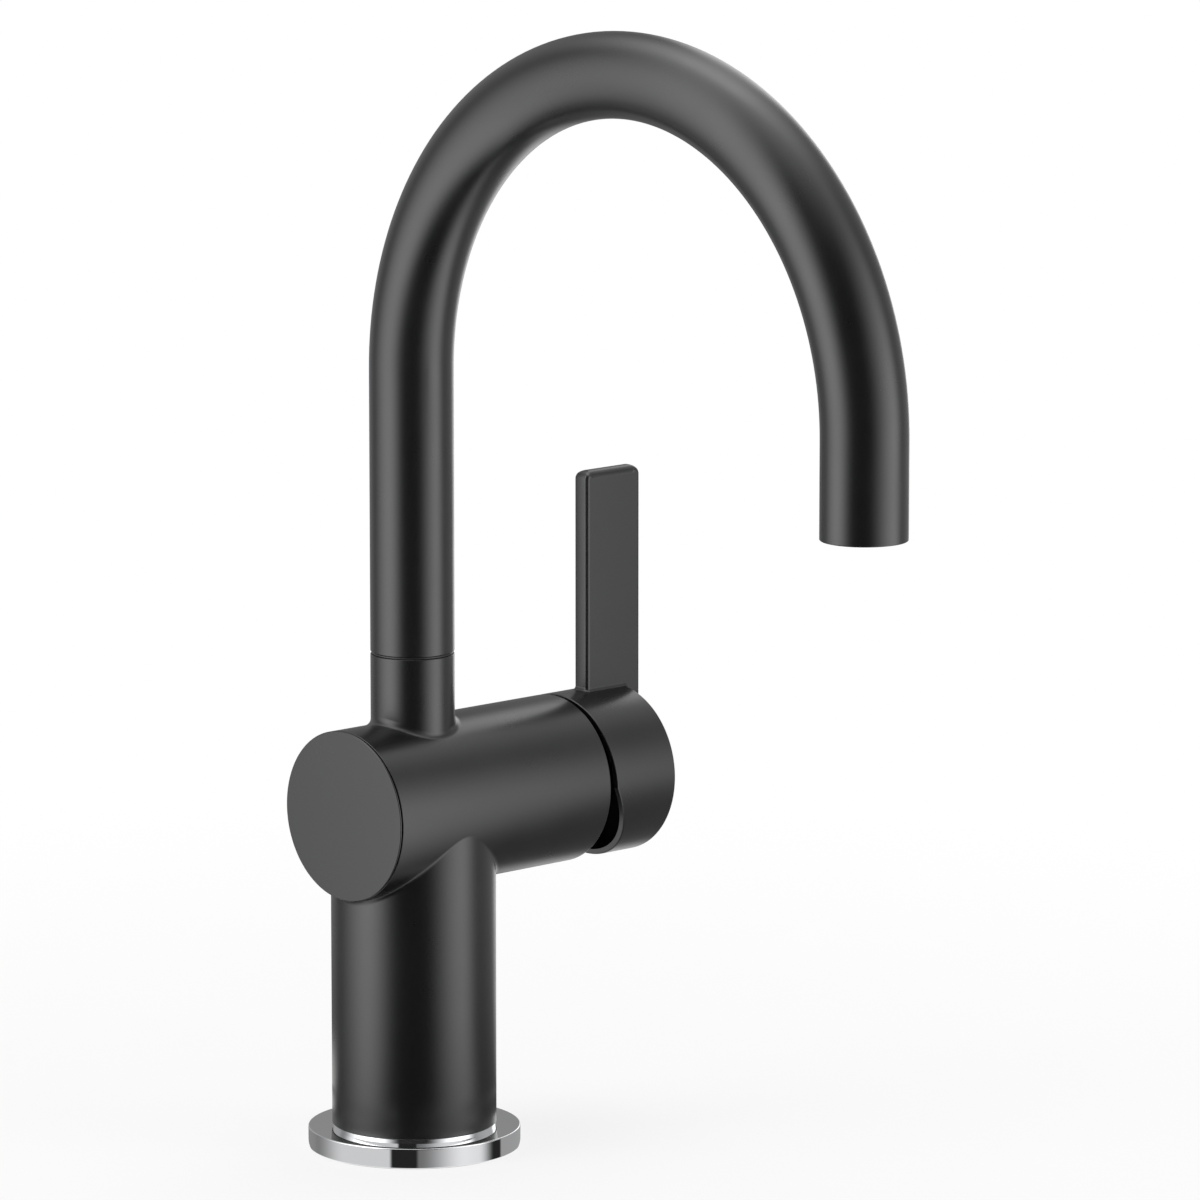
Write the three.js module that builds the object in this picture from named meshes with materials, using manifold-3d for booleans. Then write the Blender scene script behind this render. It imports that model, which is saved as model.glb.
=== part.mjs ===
// Gooseneck bar faucet: a column with a cross tube, a swivelling spout and a side lever that works a
// ceramic disc cartridge. Millimetres. +Z is up, the spout reaches towards -Y and the lever is at +X.
// The origin is the centre of the base ring's underside, on the deck that the faucet stands on.
import * as THREE from "three";
import { mergeVertices } from "three/addons/utils/BufferGeometryUtils.js";
import Module from "manifold-3d";

const wasm = await Module();
wasm.setup();

// Clearances
const fitGap = 0.3; // between pieces that seat on, turn in or slide past each other
const pinGap = 0.15; // between a pin, screw or O-ring and the hole or groove that it sits in

// Base ring, column, cross tube and neck
const ringDiameter = 63.5;
const ringHeight = 7.1;
const ringChamfer = 0.5;
const ringRecess = 1.2; // depth of the seat that the column stands in
const gasketWidth = 4.4; // the seal in the ring's underside, midway between bore and rim
const gasketThickness = 2;
const columnDiameter = 49.2;
const columnWall = 4.1; // round the hollow of the column
const crossDiameter = 50.8;
const crossHeight = 104; // axis of the cross tube above the deck
const crossChamfer = 0.4;
const bodyEndReach = 57.2; // end of the cross tube at the lever, from the column's axis
const neckLength = 20.6; // from the top of the cross tube to the swivel seam
const neckWall = 3;

// End cap
const capReach = 27.8; // outer face, from the column's axis
const capFlange = 1; // thickness of the disc
const capGroove = 0.7; // shadow gap behind the disc
const capWall = 5.4; // of the cross tube round the cap's plug
const capPlugWall = 3.7;
const capPlugGap = 3; // between the plug and the wall in the middle of the cross tube
const middleWall = 12; // that wall's face, from the column's axis

// Spout
const tubeDiameter = 25;
const tubeWall = 1.3;
const riserLength = 85; // from the seam to the bend
const bendRadius = 94; // of the tube's centre line
const downLength = 28.2; // from the bend to the outlet
const bendSteps = 24;

// Swivel joint, with heights from the seam
const seamGap = 0.7;
const spigotWall = 3;
const spigotLength = 26; // in the neck
const spigotOverlap = 15; // in the spout tube
const spigotEndGap = 2;
const sealSection = 1.5; // thickness of an O-ring
const upperSealDrop = 7.5;
const lowerSealDrop = 19.5;
const lockDrop = 13.5; // the screw that keeps the spigot in the neck
const lockGrooveWidth = 5;
const lockGrooveDepth = 1.5;
const lockScrewDiameter = 4;
const glideThickness = 1.6;
const bearingHeight = 3.4; // of the split ring at the spigot's foot

// Aerator
const collarWall = 1.3;
const collarLength = 13.7;
const collarRecess = 1.5;
const aeratorRecess = 0.8;
const aeratorLength = 11.4;
const aeratorWall = 1.3;
const aeratorLip = 0.8;
const screenThickness = 1.2;
const screenHole = 1.3;
const regulatorThickness = 4;
const regulatorHole = 1.8;
const washerThickness = 2;
const washerWidth = 3.8;

// Cartridge, from its base to its cover
const cartridgeDiameter = 35;
const baseThickness = 6;
const fixedDiscThickness = 3.5;
const movingDiscThickness = 3;
const discMargin = 0.5; // left between the moving disc and the housing with the lever fully pulled
const chamberDepth = 1.6;
const portLand = 0.45; // by which the moving disc covers the inlets when the lever is at rest
const chamberRim = 1;
const carrierThickness = 6;
const housingWall = 2.7;
const housingTop = 2.5;
const guideFlange = 10.3;
const guideNeckLength = 4.5;
const guideNeckWall = 2.6; // beyond the slot that the stem swings in
const nutShoulder = 2.2; // by which the nut is wider than the cartridge, all round
const nutThread = 3.5;
const nutHexLength = 3;
const nutHexInset = 0.65; // of the hexagon's corners, inside the thread
const nutClearance = 1.3; // round the stem where it leaves the cover, with the lever fully pulled
const bonnetLength = 3;

// Waterways
const waterwayDiameter = 5.5;
const inletSpread = 7; // hot and cold ports, either side of the middle
const inletRise = 5; // and above the cross tube's axis
const outletDrop = 8; // mixed water port below the axis
const portSealOuter = 8.4;
const portSealInner = 5.4;
const portSealThickness = 1.6;
const hosePortDiameter = 10;
const hosePortDepth = 12;
const hosePortReach = 4;
const coreDrop = 42; // ceiling of the column's hollow, below the cross tube's axis

// Stem and pivot
const liftAngle = 20; // degrees that the lever can be pulled out
const pivotInset = 6.3; // from the guide's inner face
const pivotDiameter = 3;
const pivotShort = 2; // by which the pin stops short of the guide's rim, at each end
const stemSize = 8;
const stemHeel = 4; // square part behind the pivot
const stemInset = 2.05; // between the stem's end and the inside of the hub's end wall
const stemArmDiameter = 4;
const stemBallDiameter = 4.8;
const stemBallInset = 2.2; // middle of the ball, below the carrier's face

// Handle
const hubLength = 26.85; // from the end of the cross tube to the hub's end face
const hubGapTop = 1.4; // between hub and cross tube at the top
const hubGapMiddle = 2.7;
const hubGapBottom = 13.7; // room for the hub's lower half when the lever is pulled out
const hubWall = 2.5;
const hubEndWall = 4.05;
const hubChamfer = 0.4;
const bossWall = 4.5; // round the stem
const bossInset = 7.8; // inner end of the boss, from the end of the cross tube
const socketEndGap = 1;
const leverOverhang = 6.05; // past the hub's end face
const leverWidth = 21.3;
const leverThickness = 5.33;
const leverHeight = 93; // top of the lever above the cross tube's axis
const leverFootDrop = 20; // lower end of the lever's foot on the hub's end face, below the axis
const leverBevel = 0.8;
const leverCornerOuter = 2.75;
const leverCornerInner = 1.75;
const handleScrewDiameter = 5;
const handleScrewLength = 4;
const handleScrewInset = 9.05; // from the hub's end face
const hexSocket = 2.5; // across the flats of the grub screws' sockets
const hexSocketDepth = 2;
const plugLength = 2.2;

// Shank and deck fixing
const shankDiameter = 32;
const shankWall = 3;
const shankLength = 55; // below the deck
const shankThread = 20.8; // length of the shank in the column
const ringShankGap = 1;
const deckThickness = 20; // of the deck that the clamp is drawn against
const clampDiameter = 56;
const clampGasketThickness = 2;
const clampWasherThickness = 1.6;
const clampNutThickness = 9;
const clampNutFlats = 44;

// Sizes and places that follow
const columnRadius = columnDiameter / 2;
const crossRadius = crossDiameter / 2;
const tubeRadius = tubeDiameter / 2;
const waterwayRadius = waterwayDiameter / 2;
const columnFoot = ringHeight - ringRecess + fitGap;
const shankRadius = shankDiameter / 2;
const shankTop = columnFoot + shankThread;
const coreHeight = crossHeight - coreDrop;

const capInner = -capReach + capFlange; // back of the cap's disc
const crossInner = capInner + capGroove; // end of the cross tube behind it
const capPlugRadius = crossRadius - capWall - fitGap;

const seamHeight = crossHeight + crossRadius + neckLength;
const neckTop = seamHeight - seamGap / 2;
const tubeBottom = seamHeight + seamGap / 2;
const bendHeight = seamHeight + riserLength;
const outletReach = 2 * bendRadius;
const outletHeight = bendHeight - downLength;
const tubeBoreRadius = tubeRadius - tubeWall;
const neckBoreRadius = tubeRadius - neckWall;
const spigotRadius = neckBoreRadius - fitGap - pinGap;
const spigotBoreRadius = spigotRadius - spigotWall;
const spigotShoulderRadius = tubeBoreRadius - fitGap;
const spigotFoot = seamHeight - spigotLength;
const neckFloor = spigotFoot - spigotEndGap;
const glideTop = tubeBottom - 2 * fitGap;

const cartridgeRadius = cartridgeDiameter / 2;
const housingBoreRadius = cartridgeRadius - housingWall;
const bonnetEnd = bodyEndReach - fitGap;
const bonnetStart = bonnetEnd - bonnetLength;
const nutEnd = bonnetStart - fitGap;
const nutStart = nutEnd - nutThread - nutHexLength;
const nutRadius = cartridgeRadius + nutShoulder;
const housingEnd = nutStart - fitGap;
const flangeEnd = housingEnd - housingTop - fitGap;
const guideStart = flangeEnd - guideFlange;
const guideEnd = flangeEnd + guideNeckLength;
const carrierEnd = guideStart - fitGap;
const carrierStart = carrierEnd - carrierThickness;
const movingDiscEnd = carrierStart - fitGap;
const movingDiscStart = movingDiscEnd - movingDiscThickness;
const fixedDiscEnd = movingDiscStart - fitGap;
const fixedDiscStart = fixedDiscEnd - fixedDiscThickness;
const baseEnd = fixedDiscStart - fitGap;
const baseStart = baseEnd - baseThickness;
const cartridgeFloor = baseStart - fitGap;

const lift = THREE.MathUtils.degToRad(liftAngle);
const pivotReach = guideStart + pivotInset;
const guideNeckRadius = stemSwing(guideEnd) + fitGap + guideNeckWall;
const nutBoreRadius = stemSwing(bonnetEnd) + nutClearance;
const stemBallReach = carrierEnd - stemBallInset;
const discTravel = (pivotReach - stemBallReach) * lift;
const movingDiscRadius = housingBoreRadius - discTravel - discMargin;
const hubEndReach = bodyEndReach + hubLength;
const hubCavityEnd = hubEndReach - hubEndWall;
const stemEnd = hubCavityEnd - stemInset;

// Half the height that the stem sweeps at a reach beyond its pivot.
function stemSwing(reach) {
  return (reach - pivotReach) * Math.tan(lift) + stemSize / 2 / Math.cos(lift);
}

const finishes = {
  matteBlack: { color: 0x26272a, roughness: 0.5, metalness: 0.1 },
  chrome: { color: 0xd8d9db, roughness: 0.08, metalness: 1 },
  brass: { color: 0xb89452, roughness: 0.35, metalness: 1 },
  steel: { color: 0xa9abae, roughness: 0.35, metalness: 1 },
  rubber: { color: 0x17181a, roughness: 0.85, metalness: 0 },
  acetal: { color: 0x1d1e20, roughness: 0.45, metalness: 0 },
  nylon: { color: 0xe4e2da, roughness: 0.5, metalness: 0 },
  ceramic: { color: 0xf0eeea, roughness: 0.25, metalness: 0 },
};

// More sides on wider rounds, always a multiple of four so that the widest points lie on the axes.
function sidesFor(radius) {
  if (radius > 15) return 48;
  if (radius > 6) return 24;
  return radius > 2.2 ? 12 : 8;
}

// A shape turned about +Z from [radius, height] points that run up its outside.
function turned(profile) {
  const widest = Math.max(...profile.map(([radius]) => radius));
  const points = profile.map(([radius, height]) => new THREE.Vector2(radius, height));
  return new THREE.LatheGeometry(points, sidesFor(widest)).rotateX(Math.PI / 2);
}

function rod(radius, low, high) {
  return turned([[0, low], [radius, low], [radius, high], [0, high]]);
}

function tube(outer, inner, low, high) {
  return turned([[inner, low], [outer, low], [outer, high], [inner, high], [inner, low]]);
}

function oRing(outer, section, height) {
  const middle = outer - section / 2;
  const ring = new THREE.TorusGeometry(middle, section / 2, 8, sidesFor(middle));
  return ring.translate(0, 0, height);
}

// A bar with six sides, along +Z.
function hexagonBar(flats, low, high) {
  const bar = new THREE.CylinderGeometry(flats / Math.sqrt(3), flats / Math.sqrt(3), high - low, 6);
  return bar.rotateX(Math.PI / 2).translate(0, 0, (low + high) / 2);
}

// A notch in a profile that runs up a round of this radius.
function notch(radius, middle, width, depth) {
  return [
    [radius, middle - width / 2],
    [radius - depth, middle - width / 2],
    [radius - depth, middle + width / 2],
    [radius, middle + width / 2],
  ];
}

// Turns a shape along +Z to run along +X, with its own +Y up and its own +X towards +Y.
const crossTurn = new THREE.Quaternion(0.5, 0.5, 0.5, 0.5);

function crossways(geometry) {
  return geometry.applyQuaternion(crossTurn).translate(0, 0, crossHeight);
}

// A closed geometry as a solid that can be joined and cut.
function solid(geometry) {
  const bare = geometry.clone();
  bare.deleteAttribute("normal");
  bare.deleteAttribute("uv");
  const merged = mergeVertices(bare);
  const mesh = new wasm.Mesh({
    numProp: 3,
    vertProperties: merged.attributes.position.array,
    triVerts: new Uint32Array(merged.index.array),
  });
  return new wasm.Manifold(mesh);
}

function joined(...geometries) {
  return geometries.map(solid).reduce((whole, next) => whole.add(next));
}

function cut(whole, ...cutters) {
  return cutters.map(solid).reduce((rest, next) => rest.subtract(next), whole);
}

function geometryOf(made) {
  const { vertProperties, triVerts } = made.getMesh();
  const geometry = new THREE.BufferGeometry();
  geometry.setAttribute("position", new THREE.BufferAttribute(new Float32Array(vertProperties), 3));
  geometry.setIndex(new THREE.BufferAttribute(new Uint32Array(triVerts), 1));
  geometry.computeVertexNormals();
  return geometry;
}

function piece(name, geometry, finish) {
  const mesh = new THREE.Mesh(geometry, new THREE.MeshStandardMaterial(finishes[finish]));
  mesh.name = name;
  return mesh;
}

// Column, cross tube and neck are one casting with its waterways and bores.
function faucetBody() {
  const cross = turned([
    [0, crossInner],
    [crossRadius, crossInner],
    [crossRadius, bodyEndReach - crossChamfer],
    [crossRadius - crossChamfer, bodyEndReach],
    [0, bodyEndReach],
  ]);
  const outside = joined(
    rod(columnRadius, columnFoot, crossHeight),
    crossways(cross),
    rod(tubeRadius, crossHeight, neckTop),
  );
  const inletTop = crossHeight + inletRise + waterwayRadius;
  const inlets = [-inletSpread, inletSpread].flatMap((side) => [
    rod(hosePortDiameter / 2, coreHeight - 1, coreHeight + hosePortDepth)
      .translate(hosePortReach, side, 0),
    rod(waterwayRadius, coreHeight, inletTop).translate(hosePortReach, side, 0),
    crossways(rod(waterwayRadius, hosePortReach, cartridgeFloor + 1).translate(side, inletRise, 0)),
  ]);
  const outletFloor = crossHeight - outletDrop - waterwayRadius;
  const lockHole = rod(lockScrewDiameter / 2 + pinGap, 0, crossRadius).rotateX(-Math.PI / 2);
  const body = cut(
    outside,
    crossways(rod(capPlugRadius + fitGap, crossInner - 1, -middleWall)),
    crossways(rod(cartridgeRadius + fitGap, cartridgeFloor, bodyEndReach)),
    crossways(rod(nutRadius + fitGap, nutStart - fitGap, bodyEndReach + 1)),
    rod(shankRadius + fitGap, 0, shankTop + fitGap),
    rod(columnRadius - columnWall, shankTop + fitGap, coreHeight),
    rod(neckBoreRadius, neckFloor, seamHeight),
    rod(spigotShoulderRadius + 2 * fitGap, glideTop - glideThickness - fitGap, seamHeight),
    crossways(rod(waterwayRadius, 0, cartridgeFloor + 1).translate(0, -outletDrop, 0)),
    rod(waterwayRadius + 1, outletFloor, neckFloor + 1),
    lockHole.translate(0, 0, seamHeight - lockDrop),
    ...inlets,
  );
  return piece("faucet_body", geometryOf(body), "matteBlack");
}

// The disc at the cross tube's closed end, with its plug and O-ring.
function endCap() {
  const plugEnd = -middleWall - capPlugGap;
  const middle = (capInner + plugEnd) / 2;
  const grooveDepth = sealSection + pinGap;
  const inner = capPlugRadius - capPlugWall;
  const cap = turned([
    [0, -capReach],
    [crossRadius - crossChamfer, -capReach],
    [crossRadius, -capReach + crossChamfer],
    [crossRadius, capInner],
    [capPlugRadius, capInner],
    ...notch(capPlugRadius, middle, sealSection + 2 * pinGap, grooveDepth),
    [capPlugRadius, plugEnd],
    [inner, plugEnd],
    [inner, capInner + capFlange],
    [0, capInner + capFlange],
  ]);
  const seal = oRing(capPlugRadius + pinGap, sealSection, middle);
  return [piece("end_cap", cap, "matteBlack"), piece("end_cap_o_ring", seal, "rubber")];
}

// The chrome ring that the column stands in, with the seal under it.
function baseRing() {
  const outer = ringDiameter / 2;
  const bore = shankRadius + ringShankGap;
  const seat = columnRadius + fitGap;
  const seatFloor = ringHeight - ringRecess;
  const gasketMiddle = (bore + outer) / 2;
  const gasketOuter = gasketMiddle + gasketWidth / 2;
  const gasketInner = gasketMiddle - gasketWidth / 2;
  const grooveTop = gasketThickness + fitGap;
  const ring = turned([
    [bore, 0],
    [gasketInner - fitGap, 0],
    [gasketInner - fitGap, grooveTop],
    [gasketOuter + fitGap, grooveTop],
    [gasketOuter + fitGap, 0],
    [outer - ringChamfer, 0],
    [outer, ringChamfer],
    [outer, ringHeight - ringChamfer],
    [outer - ringChamfer, ringHeight],
    [seat, ringHeight],
    [seat, seatFloor],
    [bore, seatFloor],
    [bore, 0],
  ]);
  const gasket = tube(gasketOuter, gasketInner, 0, gasketThickness);
  return [piece("base_ring", ring, "chrome"), piece("base_gasket", gasket, "rubber")];
}

// The threaded shank and, under the deck, the gasket, washer and nut that draw the faucet down.
function deckFixing() {
  const gasketTop = -deckThickness;
  const washerTop = gasketTop - clampGasketThickness - fitGap;
  const nutTop = washerTop - clampWasherThickness - fitGap;
  const nutBottom = nutTop - clampNutThickness;
  const outer = clampDiameter / 2;
  const bore = shankRadius + 2 * fitGap;
  const shank = tube(shankRadius, shankRadius - shankWall, -shankLength, shankTop);
  const gasket = tube(outer, bore, gasketTop - clampGasketThickness, gasketTop);
  const washer = tube(outer, bore, washerTop - clampWasherThickness, washerTop);
  const nutBar = solid(hexagonBar(clampNutFlats, nutBottom, nutTop));
  const nut = cut(nutBar, rod(shankRadius + fitGap, nutBottom - 1, nutTop + 1));
  return [
    piece("mounting_shank", shank, "brass"),
    piece("under_deck_gasket", gasket, "rubber"),
    piece("clamp_washer", washer, "steel"),
    piece("mounting_nut", geometryOf(nut), "brass"),
  ];
}

// The spout's centre line: riser, half-circle bend and down leg. Its parameter counts stations, so
// that each straight stretch is one step and the bend gets the rest.
class SpoutLine extends THREE.Curve {
  getPoint(t, target = new THREE.Vector3()) {
    const station = t * (bendSteps + 2);
    if (station < 1) {
      return target.set(0, 0, THREE.MathUtils.lerp(tubeBottom, bendHeight, station));
    }
    const fall = station - bendSteps - 1;
    if (fall > 0) {
      return target.set(0, -outletReach, THREE.MathUtils.lerp(bendHeight, outletHeight, fall));
    }
    const turn = (Math.PI * (station - 1)) / bendSteps;
    const across = bendRadius * (1 - Math.cos(turn));
    return target.set(0, -across, bendHeight + bendRadius * Math.sin(turn));
  }

  getUtoTmapping(u) {
    return u;
  }
}

function spoutTube() {
  const section = new THREE.Shape().absarc(0, 0, tubeRadius, 0, 2 * Math.PI);
  section.holes.push(new THREE.Path().absarc(0, 0, tubeBoreRadius, 0, 2 * Math.PI));
  const pipe = new THREE.ExtrudeGeometry(section, {
    extrudePath: new SpoutLine(),
    steps: bendSteps + 2,
    curveSegments: 12,
  });
  return piece("spout_tube", pipe, "matteBlack");
}

// The spout's spigot turns in the neck on two O-rings, and a split ring centres its foot.
function spoutSpigot() {
  const upperSeal = seamHeight - upperSealDrop;
  const lowerSeal = seamHeight - lowerSealDrop;
  const sealWidth = sealSection + 2 * pinGap;
  const sealDepth = sealSection + pinGap;
  const footRadius = spigotRadius - lockGrooveDepth;
  const bearingTop = spigotFoot + bearingHeight;
  const shoulder = glideTop + fitGap;
  const spigot = turned([
    [spigotBoreRadius, spigotFoot],
    [footRadius, spigotFoot],
    [footRadius, bearingTop],
    [spigotRadius, bearingTop],
    ...notch(spigotRadius, lowerSeal, sealWidth, sealDepth),
    ...notch(spigotRadius, seamHeight - lockDrop, lockGrooveWidth, lockGrooveDepth),
    ...notch(spigotRadius, upperSeal, sealWidth, sealDepth),
    [spigotRadius, shoulder],
    [spigotShoulderRadius, shoulder],
    [spigotShoulderRadius, seamHeight + spigotOverlap],
    [spigotBoreRadius, seamHeight + spigotOverlap],
    [spigotBoreRadius, spigotFoot],
  ]);
  const running = spigotRadius + pinGap;
  const bearing = tube(running, footRadius + pinGap, spigotFoot, bearingTop - pinGap);
  return [
    piece("spout_spigot", spigot, "brass"),
    piece("spout_o_ring_upper", oRing(running, sealSection, upperSeal), "rubber"),
    piece("spout_o_ring_lower", oRing(running, sealSection, lowerSeal), "rubber"),
    piece("spout_bearing_ring", bearing, "acetal"),
  ];
}

// A grub screw along +Z with a hexagon socket in its upper end.
function grubScrew(diameter, length) {
  const bar = solid(rod(diameter / 2, 0, length));
  return geometryOf(cut(bar, hexagonBar(hexSocket, length - hexSocketDepth, length + 1)));
}

// The neck's own pieces of the swivel: the ring that the spout rides on at the seam, and the screw at
// the back whose tip stands in the spigot's groove.
function neckPieces() {
  const glideOuter = spigotShoulderRadius + fitGap;
  const glide = tube(glideOuter, spigotRadius + fitGap, glideTop - glideThickness, glideTop);
  const tip = spigotRadius - lockGrooveDepth + fitGap;
  const screw = grubScrew(lockScrewDiameter, tubeRadius - fitGap - tip);
  const retainingScrew = piece("spout_retaining_screw", screw, "steel");
  retainingScrew.rotation.x = -Math.PI / 2;
  retainingScrew.position.set(0, tip, seamHeight - lockDrop);
  return [piece("glide_ring", glide, "acetal"), retainingScrew];
}

// Places of a round plate's holes: one in the middle and rings of six, twelve and so on.
function holePlaces(rings, step) {
  const places = [[0, 0]];
  for (let ring = 1; ring <= rings; ring += 1) {
    for (let index = 0; index < 6 * ring; index += 1) {
      const angle = (Math.PI * index) / (3 * ring);
      places.push([ring * step * Math.cos(angle), ring * step * Math.sin(angle)]);
    }
  }
  return places;
}

function plate(radius, thickness, holeDiameter, rings) {
  const outline = new THREE.Shape().absarc(0, 0, radius, 0, 2 * Math.PI);
  const step = (radius - holeDiameter) / (rings + 0.35);
  for (const [x, y] of holePlaces(rings, step)) {
    const round = new THREE.Path().absarc(x, y, holeDiameter / 2, 0, 2 * Math.PI);
    outline.holes.push(new THREE.Path(round.getPoints(3).slice(0, -1)));
  }
  return new THREE.ExtrudeGeometry(outline, { depth: thickness, bevelEnabled: false, curveSegments: 12 });
}

// The outlet: a threaded collar in the tube, and the aerator with its washer screwed into it.
// Heights count up from the tube's lower end.
function aerator() {
  const collarOuter = tubeBoreRadius - fitGap;
  const collarInner = collarOuter - collarWall;
  const cupOuter = collarInner - fitGap;
  const cupInner = cupOuter - aeratorWall;
  const cupTop = aeratorRecess + aeratorLength;
  const lipTop = aeratorRecess + aeratorLip;
  const plateRadius = cupInner - fitGap;
  const collar = tube(collarOuter, collarInner, collarRecess, collarRecess + collarLength);
  const cup = turned([
    [cupInner - aeratorLip, aeratorRecess],
    [cupOuter, aeratorRecess],
    [cupOuter, cupTop],
    [cupInner, cupTop],
    [cupInner, lipTop],
    [cupInner - aeratorLip, lipTop],
    [cupInner - aeratorLip, aeratorRecess],
  ]);
  const washer = tube(cupOuter, cupOuter - washerWidth, 0, washerThickness);
  const screen = plate(plateRadius, screenThickness, screenHole, 2);
  const regulator = plate(plateRadius, regulatorThickness, regulatorHole, 1);
  const group = new THREE.Group();
  group.position.set(0, -outletReach, outletHeight);
  group.add(
    piece("outlet_collar", collar, "brass"),
    piece("aerator_housing", cup, "acetal"),
    piece("aerator_washer", washer.translate(0, 0, cupTop + fitGap), "rubber"),
    piece("aerator_screen", screen.translate(0, 0, lipTop + fitGap), "steel"),
    piece("flow_regulator", regulator.translate(0, 0, cupTop - regulatorThickness - fitGap), "nylon"),
  );
  return group;
}

// The three ports in the cartridge's floor, for whoever looks along the cross tube from the lever:
// x runs towards the back and y runs up.
const cartridgePorts = {
  hot: [inletSpread, inletRise],
  cold: [-inletSpread, inletRise],
  outlet: [0, -outletDrop],
};

function portRods(radius, low, high) {
  return Object.values(cartridgePorts).map(([x, y]) => rod(radius, low, high).translate(x, y, 0));
}

// The cartridge's fixed pieces, with z along the cross tube from the column's axis.
function cartridgeCase() {
  const pocketTop = baseStart + portSealThickness + fitGap;
  const base = cut(
    solid(rod(cartridgeRadius, baseStart, baseEnd)),
    ...portRods(waterwayRadius, baseStart - 1, baseEnd + 1),
    ...portRods(portSealOuter / 2 + pinGap, baseStart - 1, pocketTop),
  );
  const seals = Object.entries(cartridgePorts).map(([name, [x, y]]) => {
    const seal = tube(portSealOuter / 2, portSealInner / 2, 0, portSealThickness);
    const mesh = piece("cartridge_seal_" + name, seal, "rubber");
    mesh.position.set(x, y, baseStart);
    return mesh;
  });
  const fixedDisc = cut(
    solid(rod(housingBoreRadius - fitGap, fixedDiscStart, fixedDiscEnd)),
    ...portRods(waterwayRadius, fixedDiscStart - 1, fixedDiscEnd + 1),
  );
  const openingRadius = guideNeckRadius + fitGap;
  const housing = turned([
    [housingBoreRadius, fixedDiscStart],
    [cartridgeRadius, fixedDiscStart],
    [cartridgeRadius, housingEnd],
    [openingRadius, housingEnd],
    [openingRadius, housingEnd - housingTop],
    [housingBoreRadius, housingEnd - housingTop],
    [housingBoreRadius, fixedDiscStart],
  ]);
  return [
    piece("cartridge_base", geometryOf(base), "nylon"),
    ...seals,
    piece("fixed_disc", geometryOf(fixedDisc), "ceramic"),
    piece("cartridge_housing", housing, "nylon"),
  ];
}

// The nut that holds the cartridge in the cross tube, and the cover over it.
function cartridgeCover() {
  const threadEnd = nutStart + nutThread;
  const hexFlats = Math.sqrt(3) * (nutRadius - nutHexInset);
  const nutOutside = joined(
    rod(nutRadius, nutStart, threadEnd),
    hexagonBar(hexFlats, threadEnd - 1, nutEnd),
  );
  const nut = cut(nutOutside, rod(nutBoreRadius, nutStart - 1, nutEnd + 1));
  const bonnet = tube(nutRadius, nutBoreRadius, bonnetStart, bonnetEnd);
  return [piece("retaining_nut", geometryOf(nut), "brass"), piece("bonnet", bonnet, "acetal")];
}

// The pieces that slide across the fixed disc when the lever is pulled. The chamber in the moving
// disc reaches from its lower rim to just below the inlets.
function slidingPieces() {
  const chamberTop = inletRise - waterwayRadius - portLand;
  const chamberBottom = chamberRim - movingDiscRadius;
  const chamber = rod((chamberTop - chamberBottom) / 2, movingDiscStart - 1, movingDiscStart + chamberDepth);
  const disc = cut(
    solid(rod(movingDiscRadius, movingDiscStart, movingDiscEnd)),
    chamber.translate(0, (chamberTop + chamberBottom) / 2, 0),
  );
  const ballRadius = stemBallDiameter / 2;
  const socketFloor = stemBallReach - ballRadius - fitGap;
  const carrier = cut(
    solid(rod(movingDiscRadius, carrierStart, carrierEnd)),
    rod(ballRadius + 2 * fitGap, socketFloor, carrierEnd + 1),
  );
  return [
    piece("moving_disc", geometryOf(disc), "ceramic"),
    piece("disc_carrier", geometryOf(carrier), "acetal"),
  ];
}

// The guide turns in the housing with the lever and carries its pivot pin.
function guidePieces() {
  const flangeRadius = housingBoreRadius - fitGap;
  const slotHeight = 2 * (stemSwing(guideEnd) + fitGap);
  const slot = new THREE.BoxGeometry(stemSize + 2 * fitGap, slotHeight, guideEnd - guideStart + 2);
  const pinBore = rod(pivotDiameter / 2 + pinGap, -cartridgeRadius, cartridgeRadius);
  const guide = cut(
    joined(
      rod(flangeRadius, guideStart, flangeEnd),
      rod(guideNeckRadius, flangeEnd - 1, guideEnd),
    ),
    slot.translate(0, 0, (guideStart + guideEnd) / 2),
    pinBore.rotateY(Math.PI / 2).translate(0, 0, pivotReach),
  );
  const pinEnd = flangeRadius - pivotShort;
  const pin = rod(pivotDiameter / 2, -pinEnd, pinEnd).rotateY(Math.PI / 2);
  return [
    piece("stem_guide", geometryOf(guide), "acetal"),
    piece("pivot_pin", pin.translate(0, 0, pivotReach), "steel"),
  ];
}

// A square bar on the pivot, with an arm and a ball that push the carrier.
function stem() {
  const heel = pivotReach - stemHeel;
  const bar = new THREE.BoxGeometry(stemSize, stemSize, stemEnd - heel);
  const bore = rod(pivotDiameter / 2 + fitGap, -stemSize, stemSize);
  const made = cut(
    joined(
      bar.translate(0, 0, (heel + stemEnd) / 2),
      rod(stemArmDiameter / 2, stemBallReach, heel + 1),
      new THREE.SphereGeometry(stemBallDiameter / 2, 16, 8).translate(0, 0, stemBallReach),
    ),
    bore.rotateY(Math.PI / 2).translate(0, 0, pivotReach),
  );
  return piece("stem", geometryOf(made), "brass");
}

// Where the hub's inner face lies at a height above or below the cross tube's axis. Its upper half
// is nearly square to the tube, and its lower half slants away to let the lever be pulled out.
function hubFace(height) {
  const gap = height > 0 ? hubGapTop : hubGapBottom;
  const share = Math.abs(height) / crossRadius;
  return bodyEndReach + THREE.MathUtils.lerp(hubGapMiddle, gap, share);
}

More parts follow.
